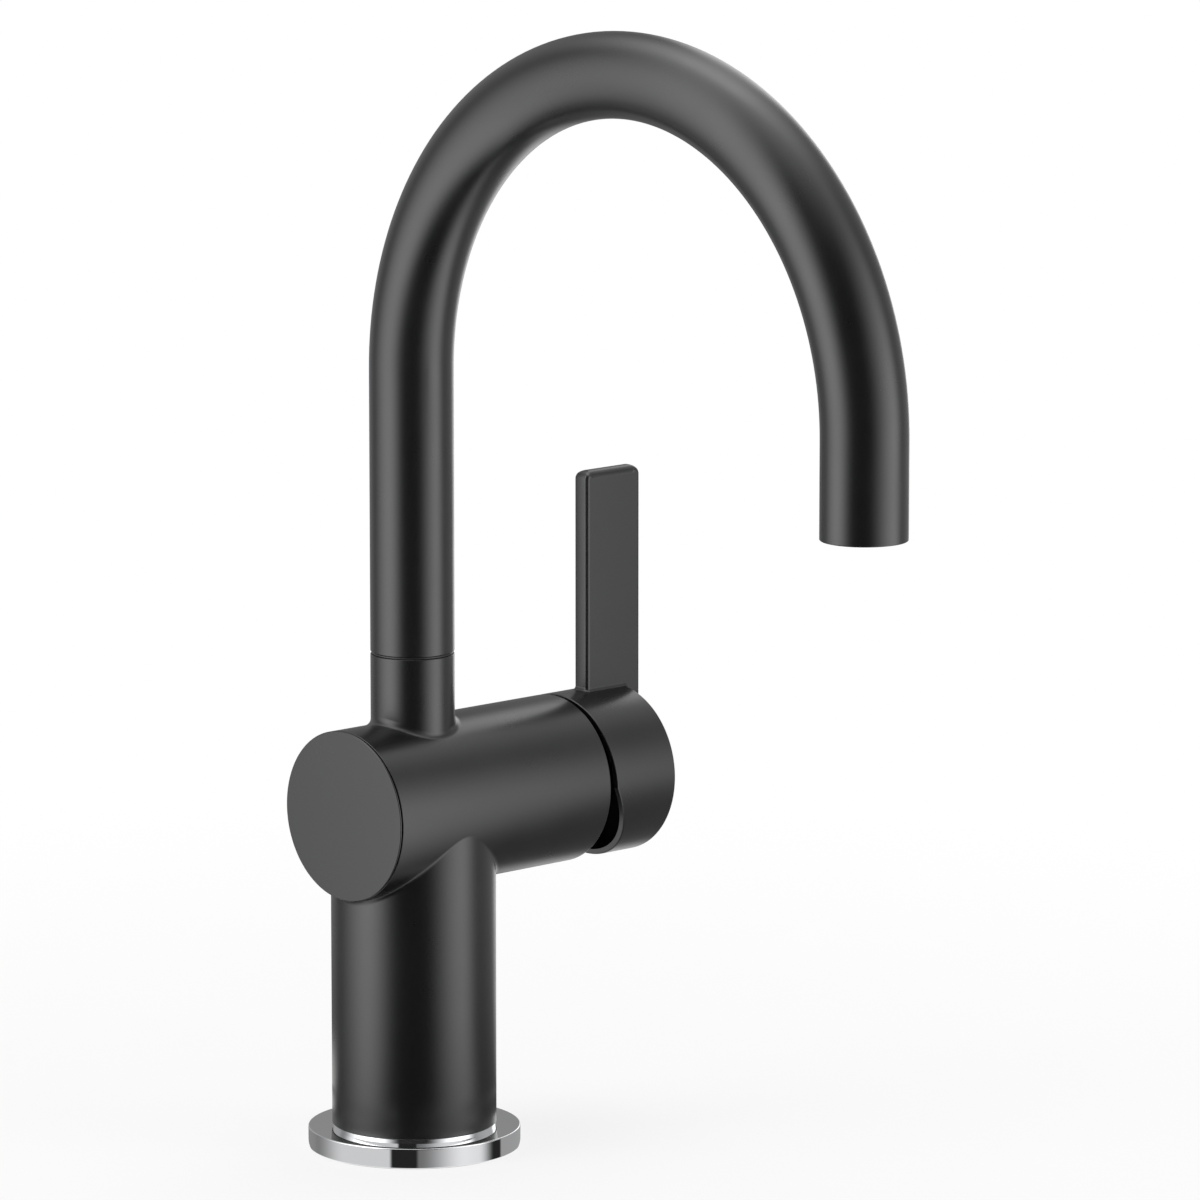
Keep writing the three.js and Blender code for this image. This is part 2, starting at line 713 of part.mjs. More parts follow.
// A prism across the hub from an outline of [reach, height] points.
function acrossHub(outline, thickness) {
  const shape = new THREE.Shape(outline.map(([reach, height]) => new THREE.Vector2(reach, height)));
  const prism = new THREE.ExtrudeGeometry(shape, { depth: thickness, bevelEnabled: false });
  return prism.translate(0, 0, -thickness / 2).rotateY(-Math.PI / 2);
}

// The lever is a blade that stands on the hub, with a foot down the hub's end face. The bevel adds
// its own width all round, so the outline is drawn that much smaller.
function leverBlade() {
  const right = hubEndReach + leverOverhang - leverBevel;
  const left = right - leverWidth + 2 * leverBevel;
  const top = leverHeight - leverBevel;
  const foot = leverBevel - leverFootDrop;
  const buried = hubEndReach - hubEndWall / 2;
  const root = crossRadius - hubWall / 2;
  const outerCorner = leverCornerOuter - leverBevel;
  const innerCorner = leverCornerInner - leverBevel;
  const shape = new THREE.Shape();
  shape.moveTo(left, root);
  shape.lineTo(buried, root);
  shape.lineTo(buried, foot);
  shape.absarc(right - outerCorner, foot + outerCorner, outerCorner, -Math.PI / 2, 0);
  shape.absarc(right - outerCorner, top - outerCorner, outerCorner, 0, Math.PI / 2);
  shape.absarc(left + innerCorner, top - innerCorner, innerCorner, Math.PI / 2, Math.PI);
  const depth = leverThickness - 2 * leverBevel;
  const blade = new THREE.ExtrudeGeometry(shape, {
    depth,
    bevelThickness: leverBevel,
    bevelSize: leverBevel,
    bevelSegments: 2,
    curveSegments: 4,
  });
  return blade.translate(0, 0, -depth / 2).rotateY(-Math.PI / 2);
}

// Hub and lever are one casting, held on the stem by a grub screw behind a plug.
function handlePieces() {
  const beyond = 1.2 * crossRadius;
  const shell = turned([
    [0, bodyEndReach],
    [crossRadius, bodyEndReach],
    [crossRadius, hubEndReach - hubChamfer],
    [crossRadius - hubChamfer, hubEndReach],
    [0, hubEndReach],
  ]);
  const inFront = acrossHub([
    [bodyEndReach - 1, beyond],
    [bodyEndReach - 1, -beyond],
    [hubFace(-beyond), -beyond],
    [hubFace(0), 0],
    [hubFace(beyond), beyond],
  ], 2 * beyond);
  const cavity = rod(crossRadius - hubWall, bodyEndReach - 1, hubCavityEnd);
  const hollow = cut(solid(shell), cavity, inFront);
  const bossStart = bodyEndReach + bossInset;
  const boss = solid(rod(stemSize / 2 + bossWall, bossStart, hubCavityEnd + 1));
  const socketSide = stemSize + 2 * fitGap;
  const socketLow = bossStart - 1;
  const socketHigh = stemEnd + socketEndGap;
  const socket = new THREE.BoxGeometry(socketSide, socketSide, socketHigh - socketLow);
  const screwReach = hubEndReach - handleScrewInset;
  const screwTop = stemSize / 2 + fitGap;
  const screwHole = rod(handleScrewDiameter / 2 + pinGap, stemSize / 2, beyond).rotateX(Math.PI / 2);
  const handle = cut(
    hollow.add(boss).add(solid(leverBlade())),
    socket.translate(0, 0, (socketLow + socketHigh) / 2),
    screwHole.translate(0, 0, screwReach),
  );
  const screw = grubScrew(handleScrewDiameter, handleScrewLength).rotateX(Math.PI / 2);
  const plug = rod(handleScrewDiameter / 2, -plugLength, 0).rotateX(Math.PI / 2);
  return [
    piece("handle", geometryOf(handle), "matteBlack"),
    piece("handle_set_screw", screw.translate(0, -screwTop, screwReach), "steel"),
    piece("handle_screw_plug", plug.translate(0, pinGap - crossRadius, screwReach), "acetal"),
  ];
}

const faucet = new THREE.Group();
faucet.add(faucetBody(), ...baseRing(), ...neckPieces(), ...deckFixing());

const crossPieces = new THREE.Group();
crossPieces.quaternion.copy(crossTurn);
crossPieces.position.z = crossHeight;
crossPieces.add(
  ...endCap(),
  ...cartridgeCase(),
  ...cartridgeCover(),
  ...slidingPieces(),
  ...guidePieces(),
  stem(),
  ...handlePieces(),
);
faucet.add(crossPieces);

const spout = new THREE.Group();
spout.add(spoutTube(), ...spoutSpigot(), aerator());
faucet.add(spout);

export default faucet;
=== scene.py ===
import math

import bpy
import numpy as np
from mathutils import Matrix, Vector
from mathutils.bvhtree import BVHTree
from mathutils.geometry import tessellate_polygon
from mathutils.interpolate import poly_3d_calc


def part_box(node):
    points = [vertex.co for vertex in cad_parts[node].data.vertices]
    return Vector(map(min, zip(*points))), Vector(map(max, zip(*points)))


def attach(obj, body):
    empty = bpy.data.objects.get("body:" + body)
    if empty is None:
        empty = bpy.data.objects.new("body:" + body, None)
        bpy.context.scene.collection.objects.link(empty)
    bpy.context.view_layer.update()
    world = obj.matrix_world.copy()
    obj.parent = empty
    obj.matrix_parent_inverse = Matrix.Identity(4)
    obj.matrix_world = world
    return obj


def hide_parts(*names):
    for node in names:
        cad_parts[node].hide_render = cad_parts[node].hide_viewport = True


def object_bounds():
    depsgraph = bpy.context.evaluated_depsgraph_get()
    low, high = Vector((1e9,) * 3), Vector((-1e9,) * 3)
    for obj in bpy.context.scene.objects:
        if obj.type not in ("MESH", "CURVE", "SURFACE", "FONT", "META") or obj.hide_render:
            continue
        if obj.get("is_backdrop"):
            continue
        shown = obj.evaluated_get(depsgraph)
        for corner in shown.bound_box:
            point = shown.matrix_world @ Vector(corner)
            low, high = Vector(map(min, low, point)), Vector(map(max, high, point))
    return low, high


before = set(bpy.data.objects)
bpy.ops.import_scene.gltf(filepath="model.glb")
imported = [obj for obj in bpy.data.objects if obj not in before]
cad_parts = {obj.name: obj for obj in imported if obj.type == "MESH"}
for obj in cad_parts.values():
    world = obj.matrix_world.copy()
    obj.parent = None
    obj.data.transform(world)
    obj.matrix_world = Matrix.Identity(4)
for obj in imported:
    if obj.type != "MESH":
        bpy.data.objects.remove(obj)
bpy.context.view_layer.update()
print("frame loaded:", len(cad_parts), "nodes")

mm = 0.001  # metres: shapes are worked out in millimetres and made in metres


# A node's lowest and highest corner in the frame, in millimetres.
def sizeOf(node):
    return [np.array(corner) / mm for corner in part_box(node)]


# Several values of a dictionary at once.
def pick(values, names):
    return [values[name] for name in names.split()]


def newShell():
    return {"points": [], "normals": [], "faces": [], "count": 0}


def addPatch(shell, points, normals, faces):
    shell["points"].append(points.reshape(-1, 3))
    shell["normals"].append(normals.reshape(-1, 3))
    shell["faces"].append(faces.reshape(-1, 4) + shell["count"])
    shell["count"] += points.reshape(-1, 3).shape[0]


# A sheet of quads from rows of points, each point with its own normal.
def addGrid(shell, points, normals, ring=False):
    rows, columns = points.shape[:2]
    index = np.arange(rows * columns).reshape(rows, columns)
    if ring:
        index = np.concatenate([index, index[:, :1]], axis=1)
    corners = [index[:-1, :-1], index[:-1, 1:], index[1:, 1:], index[1:, :-1]]
    addPatch(shell, points, np.broadcast_to(normals, points.shape), np.stack(corners, axis=-1))


# Flat quads between two loops of points.
def addFacets(shell, first, last):
    quads = np.stack([first, np.roll(first, -1, axis=0), np.roll(last, -1, axis=0), last], axis=1)
    normals = np.cross(quads[:, 2] - quads[:, 0], quads[:, 3] - quads[:, 1])
    real = np.linalg.norm(normals, axis=-1) > 1e-9
    quads = quads[real]
    addPatch(shell, quads, np.repeat(normals[real], 4, axis=0), np.arange(quads.shape[0] * 4))


# A flat face from one outer loop and any number of holes.
def addPlate(shell, loops, normal):
    triangles = tessellate_polygon([[Vector(point) for point in loop] for loop in loops])
    points = np.concatenate(loops)
    faces = np.array([(a, b, c, c) for a, b, c in triangles])
    addPatch(shell, points, np.tile(np.array(normal, float), (len(points), 1)), faces)


def unit(vectors):
    return vectors / np.linalg.norm(vectors, axis=-1, keepdims=True)


# Turns an outline of (across, along, rounding) corners into runs of points with normals. The solid
# lies to the left of the way that the outline runs.
def outlineRuns(corners, closed, arcSteps=5, stride=None):
    place = np.array([corner[:2] for corner in corners], float)
    rounding = [corner[2] if len(corner) > 2 else 0.0 for corner in corners]
    count = len(corners)
    edges = range(count if closed else count - 1)
    heading = [unit(place[(i + 1) % count] - place[i]) for i in edges]

    def turnAt(i):
        before, after = heading[i - 1], heading[i % len(heading)]
        return math.atan2(before[0] * after[1] - before[1] * after[0], float(before @ after))

    def setback(i):
        if rounding[i] == 0 or (not closed and i in (0, count - 1)):
            return 0.0
        return rounding[i] * math.tan(abs(turnAt(i)) / 2)

    runs = []
    for i in edges:
        j = (i + 1) % count
        first = place[i] + heading[i] * setback(i)
        last = place[j] - heading[i] * setback(j)
        normal = np.array([heading[i][1], -heading[i][0]])
        length = float(np.linalg.norm(last - first))
        if length > 1e-6:
            pieces = 1 if stride is None else max(1, math.ceil(length / stride))
            share = np.linspace(0, 1, pieces + 1)[:, None]
            runs.append(np.hstack([first + (last - first) * share, np.tile(normal, (pieces + 1, 1))]))
        if setback(j) > 0:
            turn = turnAt(j)
            side = math.copysign(1, turn)
            middle = last - normal * side * rounding[j]
            angles = np.linspace(0, turn, arcSteps + 1)
            turned = np.stack([
                normal[0] * np.cos(angles) - normal[1] * np.sin(angles),
                normal[0] * np.sin(angles) + normal[1] * np.cos(angles),
            ], axis=-1)
            runs.append(np.hstack([middle + turned * side * rounding[j], turned]))
    return runs


def evenAngles(sides):
    return np.arange(sides) * 2 * math.pi / sides


# Points at a reach and a height round the Z axis.
def roundAxis(angles, reach, height):
    return np.stack(np.broadcast_arrays(reach * np.cos(angles), reach * np.sin(angles), height), axis=-1)


# Turns an outline of (radius, height, rounding) corners about +Z, and puts it where place says.
def addTurned(shell, corners, place=None, closed=False, sides=96, angles=None, arcSteps=5, stride=None):
    around = evenAngles(sides) if angles is None else angles
    for run in outlineRuns(corners, closed, arcSteps, stride):
        radius, height, outward, upward = (run[:, k, None] for k in range(4))
        points, normals = roundAxis(around, radius, height), roundAxis(around, outward, upward)
        if place:
            points, normals = place(points, normals)
        addGrid(shell, points, normals, ring=True)


# The ways that a shape standing on +Z can be turned: which old axis each axis takes, and its sign.
ways = {
    "up": ([0, 1, 2], (1, 1, 1)),
    "right": ([2, 0, 1], (1, 1, 1)),
    "back": ([0, 2, 1], (1, 1, -1)),
    "down": ([0, 1, 2], (1, -1, -1)),
}


# A place for a shape: turned one of those ways, then moved.
def facing(way, x=0.0, y=0.0, z=0.0):
    axes, signs = ways[way]
    shift = np.array([x, y, z])
    return lambda points, normals: (points[..., axes] * signs + shift, normals[..., axes] * signs)


# Moves a whole shell to its place.
def moveShell(shell, place):
    moved = [place(points, normals) for points, normals in zip(shell["points"], shell["normals"])]
    shell["points"], shell["normals"] = map(list, zip(*moved))


# Slerps between two fields of unit vectors.
def swing(first, last, share):
    angle = np.arccos(np.clip((first * last).sum(-1, keepdims=True), -1, 1))
    safe = np.where(angle < 1e-6, 1.0, np.sin(angle))
    mixed = (np.sin((1 - share) * angle) * first + np.sin(share * angle) * last) / safe
    return unit(np.where(angle < 1e-6, first, mixed))


# Even shares from 0 to 1, one for each row of a grid.
def rowShares(steps):
    return np.linspace(0, 1, steps + 1)[:, None, None]


def meshFrom(name, shell):
    points = np.concatenate(shell["points"])
    normals = unit(np.concatenate(shell["normals"]))
    faces = np.concatenate(shell["faces"])
    a, b, c, d = (points[faces[:, k]] for k in range(4))
    against = (np.cross(c - a, d - b) * normals[faces].sum(axis=1)).sum(axis=1) < 0
    faces[against] = faces[against][:, ::-1]
    shared, index = np.unique(np.round(points, 4), axis=0, return_inverse=True)
    index = index.reshape(-1)
    kept, cornerNormals = [], []
    for face in faces:
        corners, seen = [], []
        for corner in face:
            if index[corner] not in seen:
                seen.append(index[corner])
                corners.append(corner)
        if len(corners) > 2:
            kept.append(seen)
            cornerNormals.extend(normals[corner] for corner in corners)
    mesh = bpy.data.meshes.new(name)
    mesh.from_pydata((shared * mm).tolist(), [], kept)
    mesh.shade_smooth()
    mesh.normals_split_custom_set(cornerNormals)
    return mesh


def turnedShell(corners, *place, **options):
    shell = newShell()
    addTurned(shell, corners, *place, **options)
    return shell


def turnedMesh(name, corners, *place, **options):
    return meshFrom(name, turnedShell(corners, *place, **options))


def rodShell(radius, low, high, place=None, sides=64):
    return turnedShell([(0, low), (radius, low), (radius, high), (0, high)], place, sides=sides)


def newObject(name, data):
    made = bpy.data.objects.new(name, data)
    bpy.context.scene.collection.objects.link(made)
    return made


# How a cut mesh finds the surfaces that it came from: how far towards a face's middle it looks from a
# corner, within how many metres, and the least likeness of a carried normal to the face's own.
carry = {"inset": 0.03, "reach": 2e-5, "likeness": 0.75}


# Gives each corner of a cut or joined mesh the normal of the surface that it came from.
def carryNormals(result, sources):
    surfaces = []
    for mesh, sign in sources:
        mesh.calc_loop_triangles()
        corners = [tuple(triangle.vertices) for triangle in mesh.loop_triangles]
        loops = [tuple(triangle.loops) for triangle in mesh.loop_triangles]
        places = [vertex.co.copy() for vertex in mesh.vertices]
        normals = [sign * corner.vector for corner in mesh.corner_normals]
        surfaces.append((BVHTree.FromPolygons(places, corners), places, corners, loops, normals))
    found = [None] * len(result.loops)
    for polygon in result.polygons:
        for loop, vertex in zip(polygon.loop_indices, polygon.vertices):
            point = result.vertices[vertex].co
            inside = point.lerp(polygon.center, carry["inset"])
            best = (carry["reach"], polygon.normal)
            for tree, places, corners, loops, normals in surfaces:
                _, _, index, distance = tree.find_nearest(inside)
                if distance > best[0]:
                    continue
                weights = poly_3d_calc([places[k] for k in corners[index]], point)
                normal = sum((max(w, 0) * normals[k] for w, k in zip(weights, loops[index])), Vector())
                if normal.length > 0 and normal.normalized().dot(polygon.normal) > carry["likeness"]:
                    best = (distance, normal.normalized())
            found[loop] = best[1]
    result.shade_smooth()
    result.normals_split_custom_set(found)


# Joins the additions to a mesh, cuts the cutters from it and carries the normals over.
def combined(name, base, additions=(), cutters=()):
    whole = newObject(name, base)
    helpers = []
    for operation, meshes in (("UNION", additions), ("DIFFERENCE", cutters)):
        if not meshes:
            continue
        group = bpy.data.collections.new(name + operation)
        for mesh in meshes:
            helpers.append(bpy.data.objects.new(mesh.name, mesh))
            group.objects.link(helpers[-1])
        bpy.context.scene.collection.children.link(group)
        modifier = whole.modifiers.new(operation, "BOOLEAN")
        modifier.operation = operation
        modifier.operand_type = "COLLECTION"
        modifier.collection = group
        modifier.solver = "EXACT"
        modifier.use_self = True
    bpy.context.view_layer.update()
    made = bpy.data.meshes.new_from_object(whole.evaluated_get(bpy.context.evaluated_depsgraph_get()))
    made.name = name
    carryNormals(made, [(base, 1)] + [(mesh, 1) for mesh in additions] + [(mesh, -1) for mesh in cutters])
    for helper in [*helpers, whole]:
        bpy.data.objects.remove(helper)
    for group in [group for group in bpy.data.collections if group.name.startswith(name)]:
        bpy.data.collections.remove(group)
    return made


def openEdges(mesh):
    uses = {}
    for polygon in mesh.polygons:
        for key in polygon.edge_keys:
            uses[key] = uses.get(key, 0) + 1
    return sum(1 for count in uses.values() if count != 2)


# Makes a mesh a piece of the model: finish, body, slot and the nodes that it stands for.
def addPiece(mesh, finish, body, *nodes):
    made = newObject(mesh.name, mesh)
    mesh.materials.clear()
    mesh.materials.append(finishes[finish])
    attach(made, body)
    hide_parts(*nodes)
    print(f"{made.name}: {len(mesh.polygons)} faces, {openEdges(mesh)} open edges")
    return made


# Links a node's inputs to sockets, or sets them to plain values.
def feed(tree, node, inputs):
    for key, value in inputs.items():
        if isinstance(value, bpy.types.NodeSocket):
            tree.links.new(value, node.inputs[key])
        else:
            colour = isinstance(value, tuple) and len(value) == 3
            node.inputs[key].default_value = (*value, 1) if colour else value


def addNode(tree, kind, inputs=None, **settings):
    node = tree.nodes.new(kind)
    for name, value in settings.items():
        setattr(node, name, value)
    feed(tree, node, inputs or {})
    return node


def mathNode(tree, operation, *values, clamp=False):
    inputs = dict(enumerate(values))
    return addNode(tree, "ShaderNodeMath", inputs, operation=operation, use_clamp=clamp).outputs[0]


# Places in the piece's own coordinates.
def ownPlace(tree):
    return addNode(tree, "ShaderNodeTexCoord").outputs["Object"]


# The parts of a vector, with its distance from the Z axis.
def splitPlace(tree, vector):
    x, y, z = addNode(tree, "ShaderNodeSeparateXYZ", {0: vector}).outputs
    squares = [mathNode(tree, "MULTIPLY", part, part) for part in (x, y)]
    return x, y, z, mathNode(tree, "SQRT", mathNode(tree, "ADD", *squares))


# A noise whose blobs are about size millimetres wide.
def noiseNode(tree, size, detail, place=None):
    inputs = {
        "Vector": ownPlace(tree) if place is None else place,
        "Scale": mathNode(tree, "DIVIDE", 1 / mm, size), "Detail": detail,
    }
    return addNode(tree, "ShaderNodeTexNoise", inputs).outputs["Fac"]


# Patches that run from one value to another, for roughness.
def wireDrift(tree, given):
    inputs = {
        "Value": noiseNode(tree, given["Size"], 3.0), "From Min": 0.3, "From Max": 0.7,
        "To Min": given["Low"], "To Max": given["High"],
    }
    return {"Value": addNode(tree, "ShaderNodeMapRange", inputs).outputs["Result"]}


# Patches that run from one colour to another.
def wireTint(tree, given):
    inputs = {"Factor": noiseNode(tree, given["Size"], 4.0), 6: given["First"], 7: given["Second"]}
    return {"Color": addNode(tree, "ShaderNodeMix", inputs, data_type="RGBA").outputs[2]}


# Fine relief of a sprayed or moulded skin: a soft ripple with a grain on it.
def wireGrain(tree, given):
    ripple = noiseNode(tree, given["Ripple"], 1.0)
    grain = mathNode(tree, "MULTIPLY", noiseNode(tree, given["Grain"], 2.0), given["Grain Share"])
    return {"Height": mathNode(tree, "ADD", ripple, grain)}


# Fine tool lines left by turning: rings on the faces and lines round the sides.
def wireToolLines(tree, given):
    _, _, z, radius = splitPlace(tree, given["Vector"])
    wander = noiseNode(tree, 6.0, 2.0, given["Vector"])
    spread = mathNode(tree, "MULTIPLY", wander, 0.4 * mm)
    reach = mathNode(tree, "ADD", mathNode(tree, "ADD", radius, z), spread)
    phase = mathNode(tree, "DIVIDE", reach, given["Pitch"])
    wave = mathNode(tree, "SINE", mathNode(tree, "MULTIPLY", phase, 2 * math.pi / mm))
    height = mathNode(tree, "MULTIPLY_ADD", wave, 0.5, 0.5)
    return {"Height": height, "Mask": mathNode(tree, "MULTIPLY", height, wander)}


# Edges and corners that stand proud, where a finish is rubbed.
def wireEdgeRub(tree, given):
    pointiness = addNode(tree, "ShaderNodeNewGeometry").outputs["Pointiness"]
    inputs = {"Value": pointiness, "From Min": given["Start"], "From Max": given["End"]}
    edges = addNode(tree, "ShaderNodeMapRange", inputs).outputs["Result"]
    return {"Mask": mathNode(tree, "MULTIPLY", edges, noiseNode(tree, given["Break"], 3.0))}


socketKinds = {1: "NodeSocketFloat", 3: "NodeSocketVector", 4: "NodeSocketColor"}  # by count of numbers


# A node group with named inputs. The wiring function returns its outputs by name.
def nodeGroup(name, wire, inputs):
    group = bpy.data.node_groups.new(name, "ShaderNodeTree")
    for label, value in inputs.items():
        kind = socketKinds[np.size(value)]
        group.interface.new_socket(label, in_out="INPUT", socket_type=kind).default_value = value
    outputs = wire(group, addNode(group, "NodeGroupInput").outputs)
    for label in outputs:
        kind = socketKinds[4 if label == "Color" else 1]
        group.interface.new_socket(label, in_out="OUTPUT", socket_type=kind)
    addNode(group, "NodeGroupOutput", outputs)
    return group


groups = {
    "drift": nodeGroup("surfaceDrift", wireDrift, {"Size": 20.0, "Low": 0.3, "High": 0.4}),
    "tint": nodeGroup("colourDrift", wireTint, {"Size": 30.0, "First": (0, 0, 0, 1), "Second": (1, 1, 1, 1)}),
    "grain": nodeGroup("skinGrain", wireGrain, {"Ripple": 1.5, "Grain": 0.2, "Grain Share": 0.5}),
    "lines": nodeGroup("toolLines", wireToolLines, {"Vector": (0, 0, 0), "Pitch": 0.3}),
    "rub": nodeGroup("edgeRub", wireEdgeRub, {"Start": 0.52, "End": 0.62, "Break": 3.0}),
}


def placeGroup(tree, name, inputs):
    return addNode(tree, "ShaderNodeGroup", inputs, node_tree=groups[name]).outputs


# One finish from its dictionary: colours, roughness, relief, and tool lines on turned metal.
def buildFinish(name, look):
    material = bpy.data.materials.new(name + "_finish")
    material.use_nodes = True
    tree = material.node_tree
    tint = {"Size": look["tintSize"], "First": look["first"], "Second": look["second"]}
    colour = placeGroup(tree, "tint", tint)["Color"]
    drift = {"Size": look["driftSize"], "Low": look["smooth"], "High": look["rough"]}
    roughness = placeGroup(tree, "drift", drift)["Value"]
    if "rub" in look:
        rub = placeGroup(tree, "rub", {"Break": 4.0})["Mask"]
        roughness = mathNode(tree, "SUBTRACT", roughness, mathNode(tree, "MULTIPLY", rub, look["rub"]))
    grain = {"Ripple": look["ripple"], "Grain": look["grain"], "Grain Share": look["grainShare"]}
    height = placeGroup(tree, "grain", grain)["Height"]
    if "pitch" in look:
        lines = placeGroup(tree, "lines", {"Vector": ownPlace(tree), "Pitch": look["pitch"]})
        height = mathNode(tree, "ADD", height, mathNode(tree, "MULTIPLY", lines["Height"], look["lineShare"]))
        scuff = mathNode(tree, "MULTIPLY", lines["Mask"], look["lineRoughness"])
        roughness = mathNode(tree, "ADD", roughness, scuff)
    bump = addNode(tree, "ShaderNodeBump", {
        "Strength": look["bump"], "Distance": look["relief"] * mm, "Height": height,
    })
    feed(tree, tree.nodes["Principled BSDF"], {
        "Base Color": colour, "Metallic": look.get("metallic", 0.0), "IOR": look.get("ior", 1.5),
        "Roughness": roughness, "Normal": bump.outputs["Normal"],
    })
    return material


looks = {
    "matte_black": {
        "first": (0.0052, 0.0054, 0.0057), "second": (0.0066, 0.0068, 0.0071), "tintSize": 28.0, "ior": 1.65,
        "smooth": 0.27, "rough": 0.31, "driftSize": 16.0, "rub": 0.06,
        "ripple": 0.9, "grain": 0.16, "grainShare": 0.6, "bump": 0.35, "relief": 0.012,
    },
    # Painted shade: near-black and barely reflecting, for the inside of the lever's hub.
    "bare_hollow": {
        "first": (0.004, 0.004, 0.004), "second": (0.006, 0.006, 0.006), "tintSize": 5.0, "ior": 1.15,
        "smooth": 0.6, "rough": 0.8, "driftSize": 5.0,
        "ripple": 1.2, "grain": 0.2, "grainShare": 0.5, "bump": 0.4, "relief": 0.03,
    },
    "chrome": {
        "first": (0.80, 0.805, 0.82), "second": (0.86, 0.865, 0.875), "tintSize": 22.0, "metallic": 1.0,
        "smooth": 0.03, "rough": 0.05, "driftSize": 12.0,
        "ripple": 7.0, "grain": 0.6, "grainShare": 0.04, "bump": 0.05, "relief": 0.01,
    },
    "brass": {
        "first": (0.58, 0.37, 0.14), "second": (0.66, 0.46, 0.21), "tintSize": 9.0, "metallic": 1.0,
        "smooth": 0.24, "rough": 0.36, "driftSize": 6.0, "rub": 0.08, "pitch": 0.35, "lineShare": 0.5,
        "lineRoughness": 0.12, "ripple": 2.0, "grain": 0.2, "grainShare": 0.4, "bump": 0.3, "relief": 0.03,
    },
    "steel": {
        "first": (0.50, 0.51, 0.52), "second": (0.60, 0.605, 0.61), "tintSize": 8.0, "metallic": 1.0,
        "smooth": 0.25, "rough": 0.38, "driftSize": 5.0, "rub": 0.08, "pitch": 0.22, "lineShare": 0.6,
        "lineRoughness": 0.15, "ripple": 1.5, "grain": 0.15, "grainShare": 0.4, "bump": 0.3, "relief": 0.02,
    },
    "rubber": {
        "first": (0.016, 0.016, 0.017), "second": (0.026, 0.026, 0.026), "tintSize": 5.0,
        "smooth": 0.7, "rough": 0.88, "driftSize": 4.0,
        "ripple": 0.8, "grain": 0.12, "grainShare": 0.9, "bump": 0.5, "relief": 0.04,
    },
    "black_acetal": {
        "first": (0.02, 0.02, 0.022), "second": (0.028, 0.028, 0.03), "tintSize": 10.0, "ior": 1.48,
        "smooth": 0.3, "rough": 0.42, "driftSize": 7.0,
        "ripple": 1.6, "grain": 0.2, "grainShare": 0.35, "bump": 0.3, "relief": 0.02,
    },
    "white_nylon": {
        "first": (0.72, 0.70, 0.63), "second": (0.79, 0.77, 0.72), "tintSize": 12.0, "ior": 1.53,
        "smooth": 0.42, "rough": 0.55, "driftSize": 6.0,
        "ripple": 1.4, "grain": 0.2, "grainShare": 0.4, "bump": 0.3, "relief": 0.02,
    },
    "ceramic": {
        "first": (0.79, 0.78, 0.74), "second": (0.85, 0.84, 0.82), "tintSize": 4.0, "ior": 1.7,
        "smooth": 0.12, "rough": 0.2, "driftSize": 3.0,
        "ripple": 0.6, "grain": 0.08, "grainShare": 0.6, "bump": 0.1, "relief": 0.01,
    },
}
finishes = {name: buildFinish(name, look) for name, look in looks.items()}
print("finishes made:", len(finishes))


casting = {
    "columnRadius": 24.6, "columnFillet": 1.9,
    "foot": 6.2, "footRadius": 23.7, "shoulder": 7.15, "footEdge": 0.2,
    "crossRadius": 25.4, "crossHeight": 104.0,
    "leftEnd": -26.8, "leftEdge": 0.2, "rightEnd": 57.2, "rightEdge": 0.4,
    "neckRadius": 12.5, "neckFillet": 2.4, "neckTop": 149.65, "neckEdge": 0.3,
    "acrossSteps": 60, "alongSteps": 48, "filletSteps": 9, "wallSteps": 8, "skinSteps": 9,
    "boreSides": 120, "holeSides": 32,
}
# What is cut from the casting: bores as outlines of (radius, along, rounding) corners, and holes as
# (radius, start, end). Each runs a little past the face or the bore that it opens.
bores = {
    "column": [(0, 5), (16.3, 5), (16.3, 27.3), (20.5, 27.3), (20.5, 62, 0.6), (0, 62)],
    "neck": [(0, 122), (9.5, 122), (9.5, 147.85), (11.5, 147.85), (11.5, 151), (0, 151)],
    "plug": [(0, -27.8), (20, -27.8), (20, -12, 0.4), (0, -12)],
    "cartridge": [(0, 13.7), (17.8, 13.7, 0.3), (17.8, 46.5), (20, 46.5), (20, 58.2), (0, 58.2)],
    "port": (5.0, 61, 74), "channel": (2.75, 73, 111.75), "inlet": (2.75, 4, 14.7), "outlet": (2.75, 0, 14.7),
    "riser": (3.75, 93.25, 123), "screw": (2.15, 5, 20),
    "portAhead": 4, "portAside": 7, "inletRise": 5, "outletRise": -8, "screwHeight": 136.5,
}
crosswise = facing("right", z=casting["crossHeight"])


# Points evenly spaced round half of the cross tube's skin, as (reach, angle from its crown) pairs.
def skinBoundary():
    left, leftEdge, right, rightEdge = pick(casting, "leftEnd leftEdge rightEnd rightEdge")
    half = math.pi / 2
    across = np.linspace(-half, half, casting["acrossSteps"] + 1)
    along = np.linspace(right - rightEdge, left + leftEdge, casting["alongSteps"] + 1)
    sides = [(along[0], across), (along, half), (along[-1], across[::-1]), (along[::-1], -half)]
    return np.concatenate([np.stack(np.broadcast_arrays(*side), axis=-1)[:-1] for side in sides])


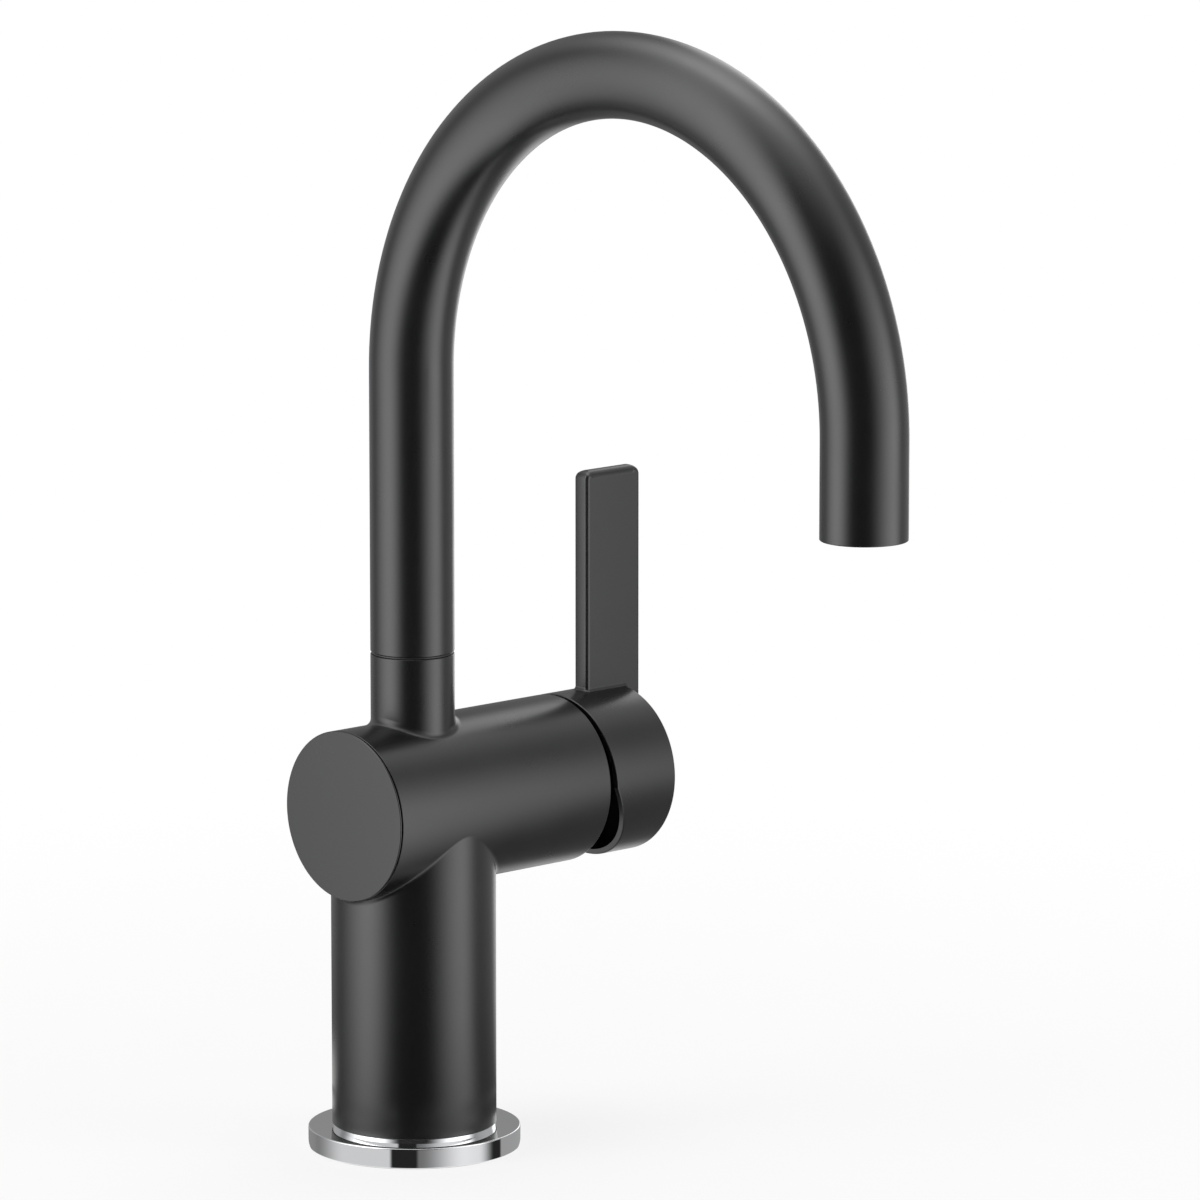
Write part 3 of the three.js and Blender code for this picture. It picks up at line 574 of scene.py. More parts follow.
# One post, up or down from the cross tube: its round wall, the rolling fillet and that half's skin.
def addBranch(shell, radius, fillet, side, wallEnd):
    cross, height = pick(casting, "crossRadius crossHeight")
    lift = np.array([0, 0, height])
    edge = skinBoundary()
    angles = np.arctan2(cross * np.sin(edge[:, 1]), edge[:, 0])
    post = roundAxis(angles, 1, 0)
    middle = (radius + fillet) * post  # of the ball that rolls in the corner
    middle[:, 2] = side * np.sqrt((cross + fillet) ** 2 - middle[:, 1] ** 2)
    tubeward = unit(middle * (0, 1, 1))
    inward = swing(-post[None], -tubeward[None], rowShares(casting["filletSteps"]))
    addGrid(shell, middle + fillet * inward + lift, -inward, ring=True)
    top = middle - fillet * post + lift
    bottom = top * (1, 1, 0) + (0, 0, wallEnd)
    addGrid(shell, bottom + (top - bottom) * rowShares(casting["wallSteps"]), post, ring=True)
    rim = np.stack([middle[:, 0], np.arcsin(np.clip(middle[:, 1] / (cross + fillet), -1, 1))], axis=-1)
    reach, turn = np.moveaxis(rim + (edge - rim) * rowShares(casting["skinSteps"]), -1, 0)
    outward = np.stack([0 * turn, np.sin(turn), side * np.cos(turn)], axis=-1)
    addGrid(shell, cross * outward + reach[..., None] * (1, 0, 0) + lift, outward, ring=True)
    return angles


def castingCutters():
    height, boreSides, holeSides = pick(casting, "crossHeight boreSides holeSides")
    port, channel, inlet, outlet, riser, screw = pick(bores, "port channel inlet outlet riser screw")
    cutters = [turnedShell(bores[name]) for name in ("column", "neck")]
    cutters += [turnedShell(bores[name], crosswise, sides=boreSides) for name in ("plug", "cartridge")]
    for side in (-bores["portAside"], bores["portAside"]):
        upwards = facing("up", bores["portAhead"], side)
        cutters += [rodShell(*port, upwards), rodShell(*channel, upwards, holeSides)]
        cutters.append(rodShell(*inlet, facing("right", 0, side, height + bores["inletRise"]), holeSides))
    cutters.append(rodShell(*outlet, facing("right", z=height + bores["outletRise"]), holeSides))
    cutters.append(rodShell(*riser, sides=holeSides))
    cutters.append(rodShell(*screw, facing("back", z=bores["screwHeight"]), holeSides))
    return [meshFrom(f"cutter{k}", cutter) for k, cutter in enumerate(cutters)]


def castingMesh():
    left, leftEdge, right, rightEdge, cross = pick(casting, "leftEnd leftEdge rightEnd rightEdge crossRadius")
    column, foot, narrow, shoulder, footEdge = pick(casting, "columnRadius foot footRadius shoulder footEdge")
    neck, neckTop, neckEdge = pick(casting, "neckRadius neckTop neckEdge")
    shell = newShell()
    angles = addBranch(shell, column, casting["columnFillet"], -1, shoulder + footEdge)
    addBranch(shell, neck, casting["neckFillet"], 1, neckTop - neckEdge)
    addTurned(shell, [
        (0, foot), (narrow, foot, footEdge), (narrow, shoulder), (column, shoulder, footEdge),
        (column, shoulder + footEdge),
    ], angles=angles)
    addTurned(shell, [(neck, neckTop - neckEdge), (neck, neckTop, neckEdge), (0, neckTop)], angles=angles)
    leftRim = [(0, left), (cross, left, leftEdge), (cross, left + leftEdge)]
    rightRim = [(cross, right - rightEdge), (cross, right, rightEdge), (0, right)]
    for rim in (leftRim, rightRim):
        addTurned(shell, rim, crosswise, sides=2 * casting["acrossSteps"])
    return combined("casting", meshFrom("castingOutside", shell), cutters=castingCutters())


addPiece(castingMesh(), "matte_black", "faucet", "faucet_body")


cap = {
    "face": -27.8, "radius": 25.4, "edge": 0.3, "flange": -27.3, "flangeEdge": 0.12, "plug": 19.7,
    "plugEnd": -15.0, "plugEdge": 0.4, "hollow": 16.0, "skin": 2.0, "groove": 1.65, "grooveWidth": 1.8,
}


def capMesh():
    face, radius, flange, plug, plugEnd, hollow = pick(cap, "face radius flange plug plugEnd hollow")
    inner = face + cap["skin"]
    grooveFloor = plug - cap["groove"]
    near, far = ((flange + plugEnd + side * cap["grooveWidth"]) / 2 for side in (-1, 1))
    return turnedMesh("cross_tube_cap", [
        (0, face), (radius, face, cap["edge"]), (radius, flange, cap["flangeEdge"]), (plug, flange),
        (plug, near), (grooveFloor, near), (grooveFloor, far), (plug, far), (plug, plugEnd, cap["plugEdge"]),
        (hollow, plugEnd, cap["edge"]), (hollow, inner), (0, inner),
    ], crosswise, sides=160)


addPiece(capMesh(), "matte_black", "faucet", "end_cap")

deckRing = {
    "radius": 31.75, "height": 6.2, "edge": 0.35, "lowerEdge": 0.4, "dish": 0.35,
    "collar": 24.3, "collarTop": 7.1, "collarEdge": 0.1, "seat": 24.0, "seatFloor": 5.9,
    "bore": 17.0, "boreEdge": 0.2, "sealGroove": (21.875, 26.875), "sealDepth": 2.3,
}


def deckRingMesh():
    radius, height, bore, boreEdge = pick(deckRing, "radius height bore boreEdge")
    collar, top, collarEdge = pick(deckRing, "collar collarTop collarEdge")
    seat, seatFloor, depth = pick(deckRing, "seat seatFloor sealDepth")
    grooveIn, grooveOut = deckRing["sealGroove"]
    return turnedMesh("deck_ring", [
        (bore, 0, boreEdge), (grooveIn, 0), (grooveIn, depth), (grooveOut, depth), (grooveOut, 0),
        (radius, 0, deckRing["lowerEdge"]), (radius, height, deckRing["edge"]),
        (collar, height - deckRing["dish"]), (collar, top, collarEdge), (seat, top, collarEdge),
        (seat, seatFloor), (bore, seatFloor, boreEdge),
    ], closed=True, sides=192, arcSteps=6)


addPiece(deckRingMesh(), "chrome", "faucet", "base_ring")


gooseneck = {
    "radius": 12.5, "bore": 11.2, "start": 150.35, "bendHeight": 235.0, "bendRadius": 94.0, "drop": 28.2,
    "seamEdges": (0.3, 0.2), "tipEdges": (0.35, 0.25),  # outside and inside
    "stride": 3.0, "sides": 128,
}


# Maps a straight tube that stands on the seam to the riser, the half-circle bend and the down leg.
def alongGooseneck(points, normals):
    height, bend = pick(gooseneck, "bendHeight bendRadius")
    station = points[..., 2] - (height - gooseneck["start"])
    turn = np.clip(station / bend, 0, math.pi)
    beyond = np.where(station < 0, station, np.maximum(station - math.pi * bend, 0))[..., None]
    ahead = np.stack([0 * turn, -np.sin(turn), np.cos(turn)], axis=-1)
    outer = np.stack([0 * turn, np.cos(turn), np.sin(turn)], axis=-1)
    centre = bend * outer + (0, -bend, height) + ahead * beyond

    def turned(vectors):
        return vectors[..., 0:1] * (1, 0, 0) + vectors[..., 1:2] * outer

    return centre + turned(points), turned(normals) + normals[..., 2:3] * ahead


def gooseneckMesh():
    start, height, bend, drop = pick(gooseneck, "start bendHeight bendRadius drop")
    radius, bore, (seamOut, seamIn), (tipOut, tipIn) = pick(gooseneck, "radius bore seamEdges tipEdges")
    length = height - start + math.pi * bend + drop
    return turnedMesh("gooseneck", [
        (radius, 0, seamOut), (radius, length, tipOut), (bore, length, tipIn), (bore, 0, seamIn),
    ], alongGooseneck, closed=True, sides=gooseneck["sides"], arcSteps=4, stride=gooseneck["stride"])


addPiece(gooseneckMesh(), "matte_black", "spout", "spout_tube")


handle = {
    "radius": 25.4, "wall": 1.8, "start": 57.2, "end": 84.05, "cavityEnd": 80.0,
    "endEdge": 0.6, "rimEdge": 0.35, "innerRimEdge": 0.2, "gapTop": 1.4, "gapMiddle": 2.7, "gapBottom": 13.7,
    "boss": 8.5, "bossStart": 65.0, "bossEdge": 0.4,
    "bladeLeft": 68.4, "bladeRight": 90.5, "bladeTop": 196.6, "bladeFoot": 84.0, "bladeHalf": 2.9,
    "bevel": 1.1, "topBevel": 2.6, "bevelSteps": 8, "outerCorner": 3.0, "innerCorner": 2.7,
    "cornerSteps": 10, "stride": 2.0,
    "buried": (2.0, 1.25),  # how deep the blade runs into the hub's end and its crown
    "flare": 1.3, "flareSink": 0.012, "flareSteps": 6, "flareDepth": 0.4, "crownSteps": 11, "faceSteps": 15,
    "socketHalf": 4.3, "socketEnd": 78.95, "screwReach": 75.0, "screwHole": (2.65, 4, 30),
    "rimSteps": 5, "sides": 180,
}


# The hub's skin, whose inner rim follows the slanted face.
def hubMesh():
    radius, wall, end, floor, boss = pick(handle, "radius wall end cavityEnd boss")
    edge, rimEdge, innerEdge, start, sides = pick(handle, "endEdge rimEdge innerRimEdge bossStart sides")
    inner = radius - wall
    ahead = np.array([1.0, 0, 0])
    lift = np.array([0, 0, casting["crossHeight"]])
    shell = newShell()
    addTurned(shell, [
        (0, start), (boss, start, handle["bossEdge"]), (boss, floor), (inner, floor),
    ], crosswise, sides=sides)
    addTurned(shell, [(radius, end - edge), (radius, end, edge), (0, end)], crosswise, sides=sides)

    def addBand(first, last, normal):
        addGrid(shell, np.stack([first, last]) + lift, normal)

    def addCorner(point, first, last, *normals):
        share = rowShares(handle["rimSteps"])
        curve = (1 - share) ** 2 * first + 2 * share * (1 - share) * point + share ** 2 * last
        ends = [np.broadcast_to(normal, (1, *point.shape)) for normal in normals]
        addGrid(shell, curve + lift, swing(*ends, share))

    for side, gap in ((1, handle["gapTop"]), (-1, handle["gapBottom"])):
        angles = np.linspace(0, math.pi, sides // 2 + 1) + (math.pi if side < 0 else 0)
        radial = np.stack([0 * angles, np.cos(angles), np.sin(angles)], axis=-1)
        slope = (gap - handle["gapMiddle"]) / radius
        rimNormal = unit(np.array([-1.0, 0, side * slope]))
        face = handle["start"] + handle["gapMiddle"]
        outside, inside = (reach * radial for reach in (radius, inner))
        for rim in (outside, inside):
            rim[:, 0] = face + slope * np.abs(rim[:, 2])
        across = unit(outside - inside)
        innerStart, innerStop = inside + ahead * innerEdge, inside + across * innerEdge
        outerStart, outerStop = outside - across * rimEdge, outside + ahead * rimEdge
        addBand(inside * (0, 1, 1) + ahead * floor, innerStart, -radial)
        addCorner(inside, innerStart, innerStop, -radial, rimNormal)
        addBand(innerStop, outerStart, rimNormal)
        addCorner(outside, outerStart, outerStop, rimNormal, radial)
        addBand(outerStop, outside * (0, 1, 1) + ahead * (end - edge), radial)
    return meshFrom("hub", shell)


# The lever blade with its foot, rounded all round: an outline in the cross tube's plane, bevelled.
def bladeMesh():
    bevel, half, left, right = pick(handle, "bevel bladeHalf bladeLeft bladeRight")
    top, foot, outer, steps = pick(handle, "bladeTop bladeFoot outerCorner bevelSteps")
    buried = handle["end"] - handle["buried"][0]
    root = casting["crossHeight"] + handle["radius"] - handle["buried"][1]
    tight = bevel + 0.05  # just more than the bevel, which would fold on a sharper corner
    runs = outlineRuns([
        (left, root, tight), (buried, root, tight), (buried, foot, tight), (right, foot, outer),
        (right, top, outer), (left, top, handle["innerCorner"]),
    ], True, handle["cornerSteps"], handle["stride"])
    outline = np.concatenate([run[:-1] for run in runs])
    bevels = bevel + (handle["topBevel"] - bevel) * np.clip(outline[:, 3], 0, 1) ** 4
    quarter = np.linspace(0, math.pi / 2, steps + 1)
    halves = []
    for side, turns in ((-1, quarter - math.pi / 2), (1, quarter)):
        across = side * (half - bevels) + np.sin(turns)[:, None] * bevels
        place = outline[:, :2] - outline[:, 2:] * ((1 - np.cos(turns))[:, None] * bevels)[..., None]
        halves.append(np.stack([place[..., 0], across, place[..., 1]], axis=-1))
    normals = []
    for points in halves:
        around = np.roll(points, -1, axis=1) - np.roll(points, 1, axis=1)
        normals.append(unit(np.cross(np.gradient(points, axis=0), around)))
    normals[0][0], normals[1][-1] = (0, -1, 0), (0, 1, 0)
    shell = newShell()
    addGrid(shell, np.concatenate(halves), np.concatenate(normals), ring=True)
    addPlate(shell, [halves[0][0]], (0, -1, 0))
    addPlate(shell, [halves[1][-1]], (0, 1, 0))
    return meshFrom("blade", shell)


# The small fillet where the blade meets the hub: a ball rolled round the blade's footprint, over the
# hub's crown and down its end face.
def flareMesh():
    flare, radius, bevel, half, left = pick(handle, "flare radius bevel bladeHalf bladeLeft")
    end, edge, foot = pick(handle, "end endEdge bladeFoot")
    height = casting["crossHeight"]
    gap = flare - handle["flareSink"]
    flat = half - bevel
    crownEnd = height + radius - edge
    steps, depth, crownSteps, faceSteps = pick(handle, "flareSteps flareDepth crownSteps faceSteps")
    turns = [(math.sin(turn), math.cos(turn)) for turn in np.linspace(0, math.pi / 2, steps + 1)]
    alongCrown = np.linspace(left + bevel, end - edge, crownSteps + 1)[1:]
    downFace = np.linspace(crownEnd, foot + bevel, faceSteps + 1)[1:-1]

    # A station is the ball's middle, the ways from blade and hub to it, and their corner.
    def onCrown(x, y, bx, by):
        cx, cy = x + gap * bx, y + gap * by
        rise = math.sqrt((radius + gap) ** 2 - cy ** 2)
        return (cx, cy, height + rise), (bx, by, 0), (0, cy, rise), (x, y, height + radius)

    def onEdge(side, sine, cosine):
        cy = side * (half + gap)
        reach = radius - edge + (edge + gap) * cosine
        rise = math.sqrt(reach ** 2 - cy ** 2)
        tilt = (sine, cosine * cy / reach, cosine * rise / reach)
        cx = end - edge + (edge + gap) * sine
        corner = (end - edge + edge * sine, side * half, crownEnd + edge * cosine)
        return (cx, cy, height + rise), (0, side, 0), tilt, corner

    def onFace(y, z, by, bz):
        return (end + gap, y + gap * by, z + gap * bz), (0, by, bz), (1, 0, 0), (end, y, z)

    def stationsOn(side):
        return [
            *(onCrown(left + bevel * (1 - c), side * (flat + bevel * s), -c, side * s) for s, c in turns),
            *(onCrown(x, side * half, 0, side) for x in alongCrown),
            *(onEdge(side, s, c) for s, c in turns[1:]),
            *(onFace(side * half, z, side, 0) for z in downFace),
            *(onFace(side * (flat + bevel * c), foot + bevel * (1 - s), side * c, -s) for s, c in turns),
        ]

    stations = stationsOn(1) + stationsOn(-1)[::-1]
    centre, bladeward, hubward, corner = (np.array([s[k] for s in stations], float) for k in range(4))
    bladeward, hubward = unit(bladeward), unit(hubward)
    inward = swing(-bladeward[None], -hubward[None], rowShares(steps))
    arc = centre + flare * inward
    # behind the arc its section runs through the metal of hub and blade
    keel = [
        centre - (flare + depth) * hubward, corner - depth * bladeward - 1.5 * depth * hubward,
        centre - (flare + depth) * bladeward,
    ]
    shell = newShell()
    addGrid(shell, arc, -inward, ring=True)
    closing = [arc[-1], *keel, arc[0]]
    for first, last, way in zip(closing, closing[1:], [-hubward + bladeward, -hubward, -bladeward, hubward]):
        addGrid(shell, np.stack([first, last]), unit(way), ring=True)
    return meshFrom("flare", shell)


# The square socket for the stem.
def socketMesh():
    half, low, high = handle["socketHalf"], handle["bossStart"] - 1, handle["socketEnd"]
    shell = newShell()
    for axis in range(3):
        for side in (-1, 1):
            points = np.insert(np.array([(-1, -1), (1, -1), (1, 1), (-1, 1)], float), axis, side, axis=1)
            points = points * ((high - low) / 2, half, half) + ((high + low) / 2, 0, casting["crossHeight"])
            addPatch(shell, points, np.tile(side * np.eye(3)[axis], (4, 1)), np.arange(4))
    return meshFrom("socket", shell)


def handleMesh():
    below = facing("down", handle["screwReach"], 0, casting["crossHeight"])
    screwHole = meshFrom("screwHole", rodShell(*handle["screwHole"], below, 48))
    return combined("lever_handle", hubMesh(), [bladeMesh(), flareMesh()], [socketMesh(), screwHole])


leverHandle = addPiece(handleMesh(), "matte_black", "handle", "handle")

# The inside of the hub gets a near-black finish that hardly reflects: painted shade for the dark hollow.
leverHandle.data.materials.append(finishes["bare_hollow"])
hollowRadius, hollowEnd = handle["radius"] - handle["wall"] + 0.1, handle["cavityEnd"] + 0.1
for polygon in leverHandle.data.polygons:
    x, y, z = polygon.center / mm
    if x < hollowEnd and math.hypot(y, z - casting["crossHeight"]) < hollowRadius:
        polygon.material_index = 1


shank = {
    "radius": 16.0, "bore": 13.0, "pitch": 2.0, "depth": 1.1, "threadTop": -3.0, "threadFoot": 0.9,
    "topEdge": 0.6, "boreEdge": 0.4, "footEdge": 0.8, "rows": 8, "sides": 96,
}


def shankMesh():
    low, high = (corner[2] for corner in sizeOf("mounting_shank"))
    radius, bore, pitch, boreEdge, sides = pick(shank, "radius bore pitch boreEdge sides")
    around = evenAngles(sides)
    heights = np.arange(low + shank["threadFoot"], shank["threadTop"] + 0.01, pitch / shank["rows"])
    phase = (heights[:, None] / pitch - around / (2 * math.pi)) % 1
    ridge = np.clip(np.abs(phase - 0.5) * 4 - 0.5, 0, 1)
    fade = np.clip(np.minimum(heights - heights[0], heights[-1] - heights) / pitch, 0, 1)[:, None]
    points = roundAxis(around, radius - shank["depth"] * ridge * fade, heights[:, None])
    alongRow = np.roll(points, -1, axis=1) - np.roll(points, 1, axis=1)
    shell = newShell()
    addGrid(shell, points, unit(np.cross(alongRow, np.gradient(points, axis=0))), ring=True)
    addTurned(shell, [
        (radius, heights[-1]), (radius, high, shank["topEdge"]), (bore, high, boreEdge),
        (bore, low, boreEdge), (radius, low, shank["footEdge"]), (radius, heights[0]),
    ], sides=sides)
    return meshFrom("threaded_shank", shell)


addPiece(shankMesh(), "brass", "faucet", "mounting_shank")

nut = {"play": 0.3, "chamfer": 0.8, "cornerDrop": 0.6, "cornerAngle": 28, "sides": 96}


# A nut with chamfered corners: its outline is a circle at each face and a hexagon between.
def nutMesh():
    low, high = sizeOf("mounting_nut")
    chamfer = nut["chamfer"]
    bore = shank["radius"] + nut["play"]
    flats = min(high[0] - low[0], high[1] - low[1]) / 2
    around = evenAngles(nut["sides"])
    flatsAhead = high[0] - low[0] < high[1] - low[1]
    reach = flats / np.cos((around + (0 if flatsAhead else math.pi / 6)) % (math.pi / 3) - math.pi / 6)
    circle = flats - nut["cornerDrop"]
    slope = (reach - circle) * math.tan(math.radians(nut["cornerAngle"]))
    bottom, top = low[2], high[2]
    rings = [roundAxis(around, *ring) for ring in (
        (circle, bottom), (reach, bottom + slope), (reach, top - slope), (circle, top), (bore + chamfer, top),
        (bore, top - chamfer), (bore, bottom + chamfer), (bore + chamfer, bottom), (circle, bottom),
    )]
    shell = newShell()
    for first, last in zip(rings, rings[1:]):
        addFacets(shell, first, last)
    return meshFrom("clamp_nut", shell)


addPiece(nutMesh(), "brass", "mounting_nut", "mounting_nut")

# Flat rings with softened edges, as wide and thick as their nodes.
flatRings = {
    "deck_seal": {"node": "base_gasket", "bore": 22.175, "edge": 0.3, "finish": "rubber", "body": "faucet"},
    "under_deck_seal": {
        "node": "under_deck_gasket", "bore": 16.6, "edge": 0.35, "finish": "rubber", "body": "clamp_stack",
    },
    "steel_washer": {
        "node": "clamp_washer", "bore": 16.6, "edge": 0.3, "finish": "steel", "body": "clamp_stack",
    },
    "outlet_sleeve": {"node": "outlet_collar", "bore": 9.6, "edge": 0.25, "finish": "brass", "body": "spout"},
}
for name, ring in flatRings.items():
    node, bore, edge, finish, body = pick(ring, "node bore edge finish body")
    low, high = sizeOf(node)
    outer = (high[0] - low[0]) / 2
    profile = [(bore, low[2], edge), (outer, low[2], edge), (outer, high[2], edge), (bore, high[2], edge)]
    middle = facing("up", *(low + high)[:2] / 2)
    addPiece(turnedMesh(name, profile, middle, closed=True, sides=128), finish, body, node)


# The ring that the spout rides on, with a lip that closes the seam.
swivelRing = {
    "bore": 9.35, "edge": 0.15, "lipRadius": 12.1, "lipBore": 11.0, "lipTop": 150.25, "lipFloor": 149.73,
    "lipEdge": 0.1,
}


def swivelRingMesh():
    (_, _, low), (outer, _, high) = sizeOf("glide_ring")
    bore, edge, lip, lipBore, lipTop, lipFloor, lipEdge = pick(
        swivelRing, "bore edge lipRadius lipBore lipTop lipFloor lipEdge")
    return turnedMesh("swivel_ring", [
        (bore, low, edge), (outer, low, edge), (outer, lipFloor), (lip, lipFloor, lipEdge),
        (lip, lipTop, lipEdge), (lipBore, lipTop, lipEdge), (lipBore, high), (bore, high, edge),
    ], closed=True, sides=128)


addPiece(swivelRingMesh(), "black_acetal", "faucet", "glide_ring")


aerator = {
    "y": -188.0, "lip": 0.8, "lipEdges": (0.2, 0.15), "wall": 1.3, "outerEdge": 0.35, "topEdges": (0.2, 0.1),
    "cell": 1.15, "web": 0.22, "rim": 0.9, "rows": 6, "sides": 72,
}
outlet = facing("up", y=aerator["y"])


def aeratorCupMesh():
    low, high = sizeOf("aerator_housing")
    outer = (high[0] - low[0]) / 2
    inner = outer - aerator["wall"]
    opening, floor = inner - aerator["lip"], low[2] + aerator["lip"]
    (lowerLip, upperLip), (outerTop, innerTop) = pick(aerator, "lipEdges topEdges")
    return turnedMesh("aerator_cup", [
        (opening, low[2], lowerLip), (outer, low[2], aerator["outerEdge"]), (outer, high[2], outerTop),
        (inner, high[2], innerTop), (inner, floor), (opening, floor, upperLip),
    ], outlet, closed=True, sides=96)


# A round plate pierced by a honeycomb of six-sided cells.
def screenMesh():
    low, high = sizeOf("aerator_screen")
    radius = (high[0] - low[0]) / 2
    size, sides = pick(aerator, "cell sides")
    pitch = 2 * size * math.cos(math.pi / 6)
    cellRadius = size - aerator["web"]
    outline = roundAxis(evenAngles(sides), radius, low[2])
    cell = roundAxis(evenAngles(6) + math.pi / 6, cellRadius, low[2])
    rows = range(-aerator["rows"], aerator["rows"] + 1)
    middles = [np.array([(column + 0.5 * (row % 2)) * pitch, row * size * 1.5, 0])
               for row in rows for column in rows]
    farthest = radius - aerator["rim"] - cellRadius * 0.9
    cells = [cell + middle for middle in middles if np.linalg.norm(middle) < farthest]
    rise = np.array([0, 0, high[2] - low[2]])
    shell = newShell()
    addPlate(shell, [outline, *cells], (0, 0, -1))
    addPlate(shell, [loop + rise for loop in (outline, *cells)], (0, 0, 1))
    addGrid(shell, np.stack([outline, outline + rise]), roundAxis(evenAngles(sides), 1, 0), ring=True)
    for loop in cells:
        addFacets(shell, loop + rise, loop)
    moveShell(shell, outlet)
    return meshFrom("aerator_honeycomb", shell)


addPiece(aeratorCupMesh(), "black_acetal", "spout", "aerator_housing")
addPiece(screenMesh(), "steel", "spout", "aerator_screen")


cover = {"radius": 19.7, "bore": 11.7, "edge": 0.6, "innerEdge": 0.2}


def coverMesh():
    radius, bore, edge, innerEdge = pick(cover, "radius bore edge innerEdge")
    low, high = (corner[0] for corner in sizeOf("bonnet"))
    return turnedMesh("cartridge_cover", [
        (bore, low, innerEdge), (radius, low, innerEdge), (radius, high, edge), (bore, high, edge),
    ], crosswise, closed=True, sides=128)


addPiece(coverMesh(), "black_acetal", "faucet", "bonnet")

screwRadii = {"swivel_screw": 2.0, "handle_screw": 2.5, "screw_cover": 2.5}
grubScrew = {"lowEdge": 0.35, "highEdge": 0.3, "socketFlats": 2.5, "socketDepth": 2.0, "sides": 48}


# A grub screw along +Z with a hexagon socket in its upper end.
def grubScrewMesh(name, length, place):
    radius = screwRadii[name]
    lowEdge, highEdge, flats, depth, sides = pick(grubScrew, "lowEdge highEdge socketFlats socketDepth sides")
    shell = turnedShell([
        (0, 0), (radius, 0, lowEdge), (radius, length, highEdge), (radius - highEdge, length),
    ], sides=sides)
    hexagon = roundAxis(evenAngles(6), flats / math.sqrt(3), length)
    addPlate(shell, [roundAxis(evenAngles(sides), radius - highEdge, length), hexagon], (0, 0, 1))
    addPlate(shell, [hexagon - (0, 0, depth)], (0, 0, 1))
    addFacets(shell, hexagon, hexagon - (0, 0, depth))
    moveShell(shell, place)
    return meshFrom(name, shell)


low, high = sizeOf("spout_retaining_screw")
back = facing("back", 0, low[1], (low + high)[2] / 2)
swivelScrew = grubScrewMesh("swivel_screw", (high - low)[1], back)
addPiece(swivelScrew, "steel", "faucet", "spout_retaining_screw")

low, high = sizeOf("handle_set_screw")
down = facing("down", (low + high)[0] / 2, 0, high[2])
handleScrew = grubScrewMesh("handle_screw", (high - low)[2], down)
addPiece(handleScrew, "steel", "handle", "handle_set_screw")

low, high = sizeOf("handle_screw_plug")
radius = screwRadii["screw_cover"]
lowEdge, highEdge = 0.35, 0.2
outline = [(0, low[2]), (radius, low[2], lowEdge), (radius, high[2], highEdge), (0, high[2])]
screwCover = turnedMesh("screw_cover", outline, facing("up", (low + high)[0] / 2), sides=grubScrew["sides"])
addPiece(screwCover, "black_acetal", "handle", "handle_screw_plug")


# Welds the facets and shades them smooth except at real edges, without touching the mesh.
def buildSmoothing():
    tree = bpy.data.node_groups.new("softShading", "GeometryNodeTree")
    for side in ("INPUT", "OUTPUT"):
        tree.interface.new_socket("Geometry", in_out=side, socket_type="NodeSocketGeometry")

    def step(kind, before, inputs, **settings):
        return addNode(tree, kind, {"Geometry": before, **inputs}, **settings).outputs["Geometry"]

    angle = addNode(tree, "GeometryNodeInputMeshEdgeAngle").outputs["Unsigned Angle"]
    soft = mathNode(tree, "LESS_THAN", angle, math.radians(38))
    geometry = addNode(tree, "NodeGroupInput").outputs[0]
    geometry = step("GeometryNodeRemoveAttribute", geometry, {"Name": "custom_normal"})
    geometry = step("GeometryNodeMergeByDistance", geometry, {"Distance": 1e-6})
    geometry = step("GeometryNodeSetShadeSmooth", geometry, {"Shade Smooth": True}, domain="FACE")
    geometry = step("GeometryNodeSetShadeSmooth", geometry, {"Shade Smooth": soft}, domain="EDGE")
    addNode(tree, "NodeGroupOutput", {0: geometry})
    return tree


smoothing = buildSmoothing()
kept = [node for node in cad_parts.values() if not node.hide_render]
for node in kept:
    for slot in node.material_slots:
        slot.material = finishes[slot.material.name.split(".")[0]]
    node.modifiers.new("softShading", "NODES").node_group = smoothing
print("frame nodes kept:", len(kept))


shot = {"place": (-1.5657, -1.7376, 0.5829), "aim": (0.0404, -0.0382, 0.1655), "lens": 240.6}

cameraData = bpy.data.cameras.new("photoCamera")
cameraData.lens = shot["lens"]
cameraData.sensor_width = 36.0
cameraData.clip_end = 50.0
camera = newObject("photoCamera", cameraData)
camera.location = shot["place"]
camera.rotation_euler = (Vector(shot["aim"]) - Vector(shot["place"])).to_track_quat("-Z", "Y").to_euler()
bpy.context.scene.camera = camera

# In the studio and on its cloths, an angle goes round the object from the camera's side, towards the
# right of the picture.
studio = {
    "middle": (0.02, -0.05, 0.17), "ambient": 0.42,
    "lamps": {
        "leftLamp": {"angle": -70, "rise": 15, "away": 1.0, "width": 0.6, "height": 1.0, "strength": 3.0},
        "rightLamp": {"angle": 70, "rise": 15, "away": 1.1, "width": 0.5, "height": 1.0, "strength": 2.6},
        "topLamp": {"angle": 170, "rise": 75, "away": 1.2, "width": 0.9, "height": 0.9, "strength": 3.0},
    },
}
viewAngle = math.atan2(shot["place"][1] - shot["aim"][1], shot["place"][0] - shot["aim"][0])

# The lamps light the object softly, and the tent below is what its gloss reflects.
for name, lamp in studio["lamps"].items():
    width, height = pick(lamp, "width height")
    light = bpy.data.lights.new(name, "AREA")
    light.shape = "RECTANGLE"
    light.size, light.size_y = width, height
    light.energy = lamp["strength"] * math.pi * width * height
    made = newObject(name, light)
    heading, rise = viewAngle + math.radians(lamp["angle"]), math.radians(lamp["rise"])
    direction = Vector(roundAxis(heading, math.cos(rise), math.sin(rise)))
    made.location = Vector(studio["middle"]) + direction * lamp["away"]
    made.rotation_euler = (-direction).to_track_quat("-Z", "Y").to_euler()
    made.visible_glossy = False


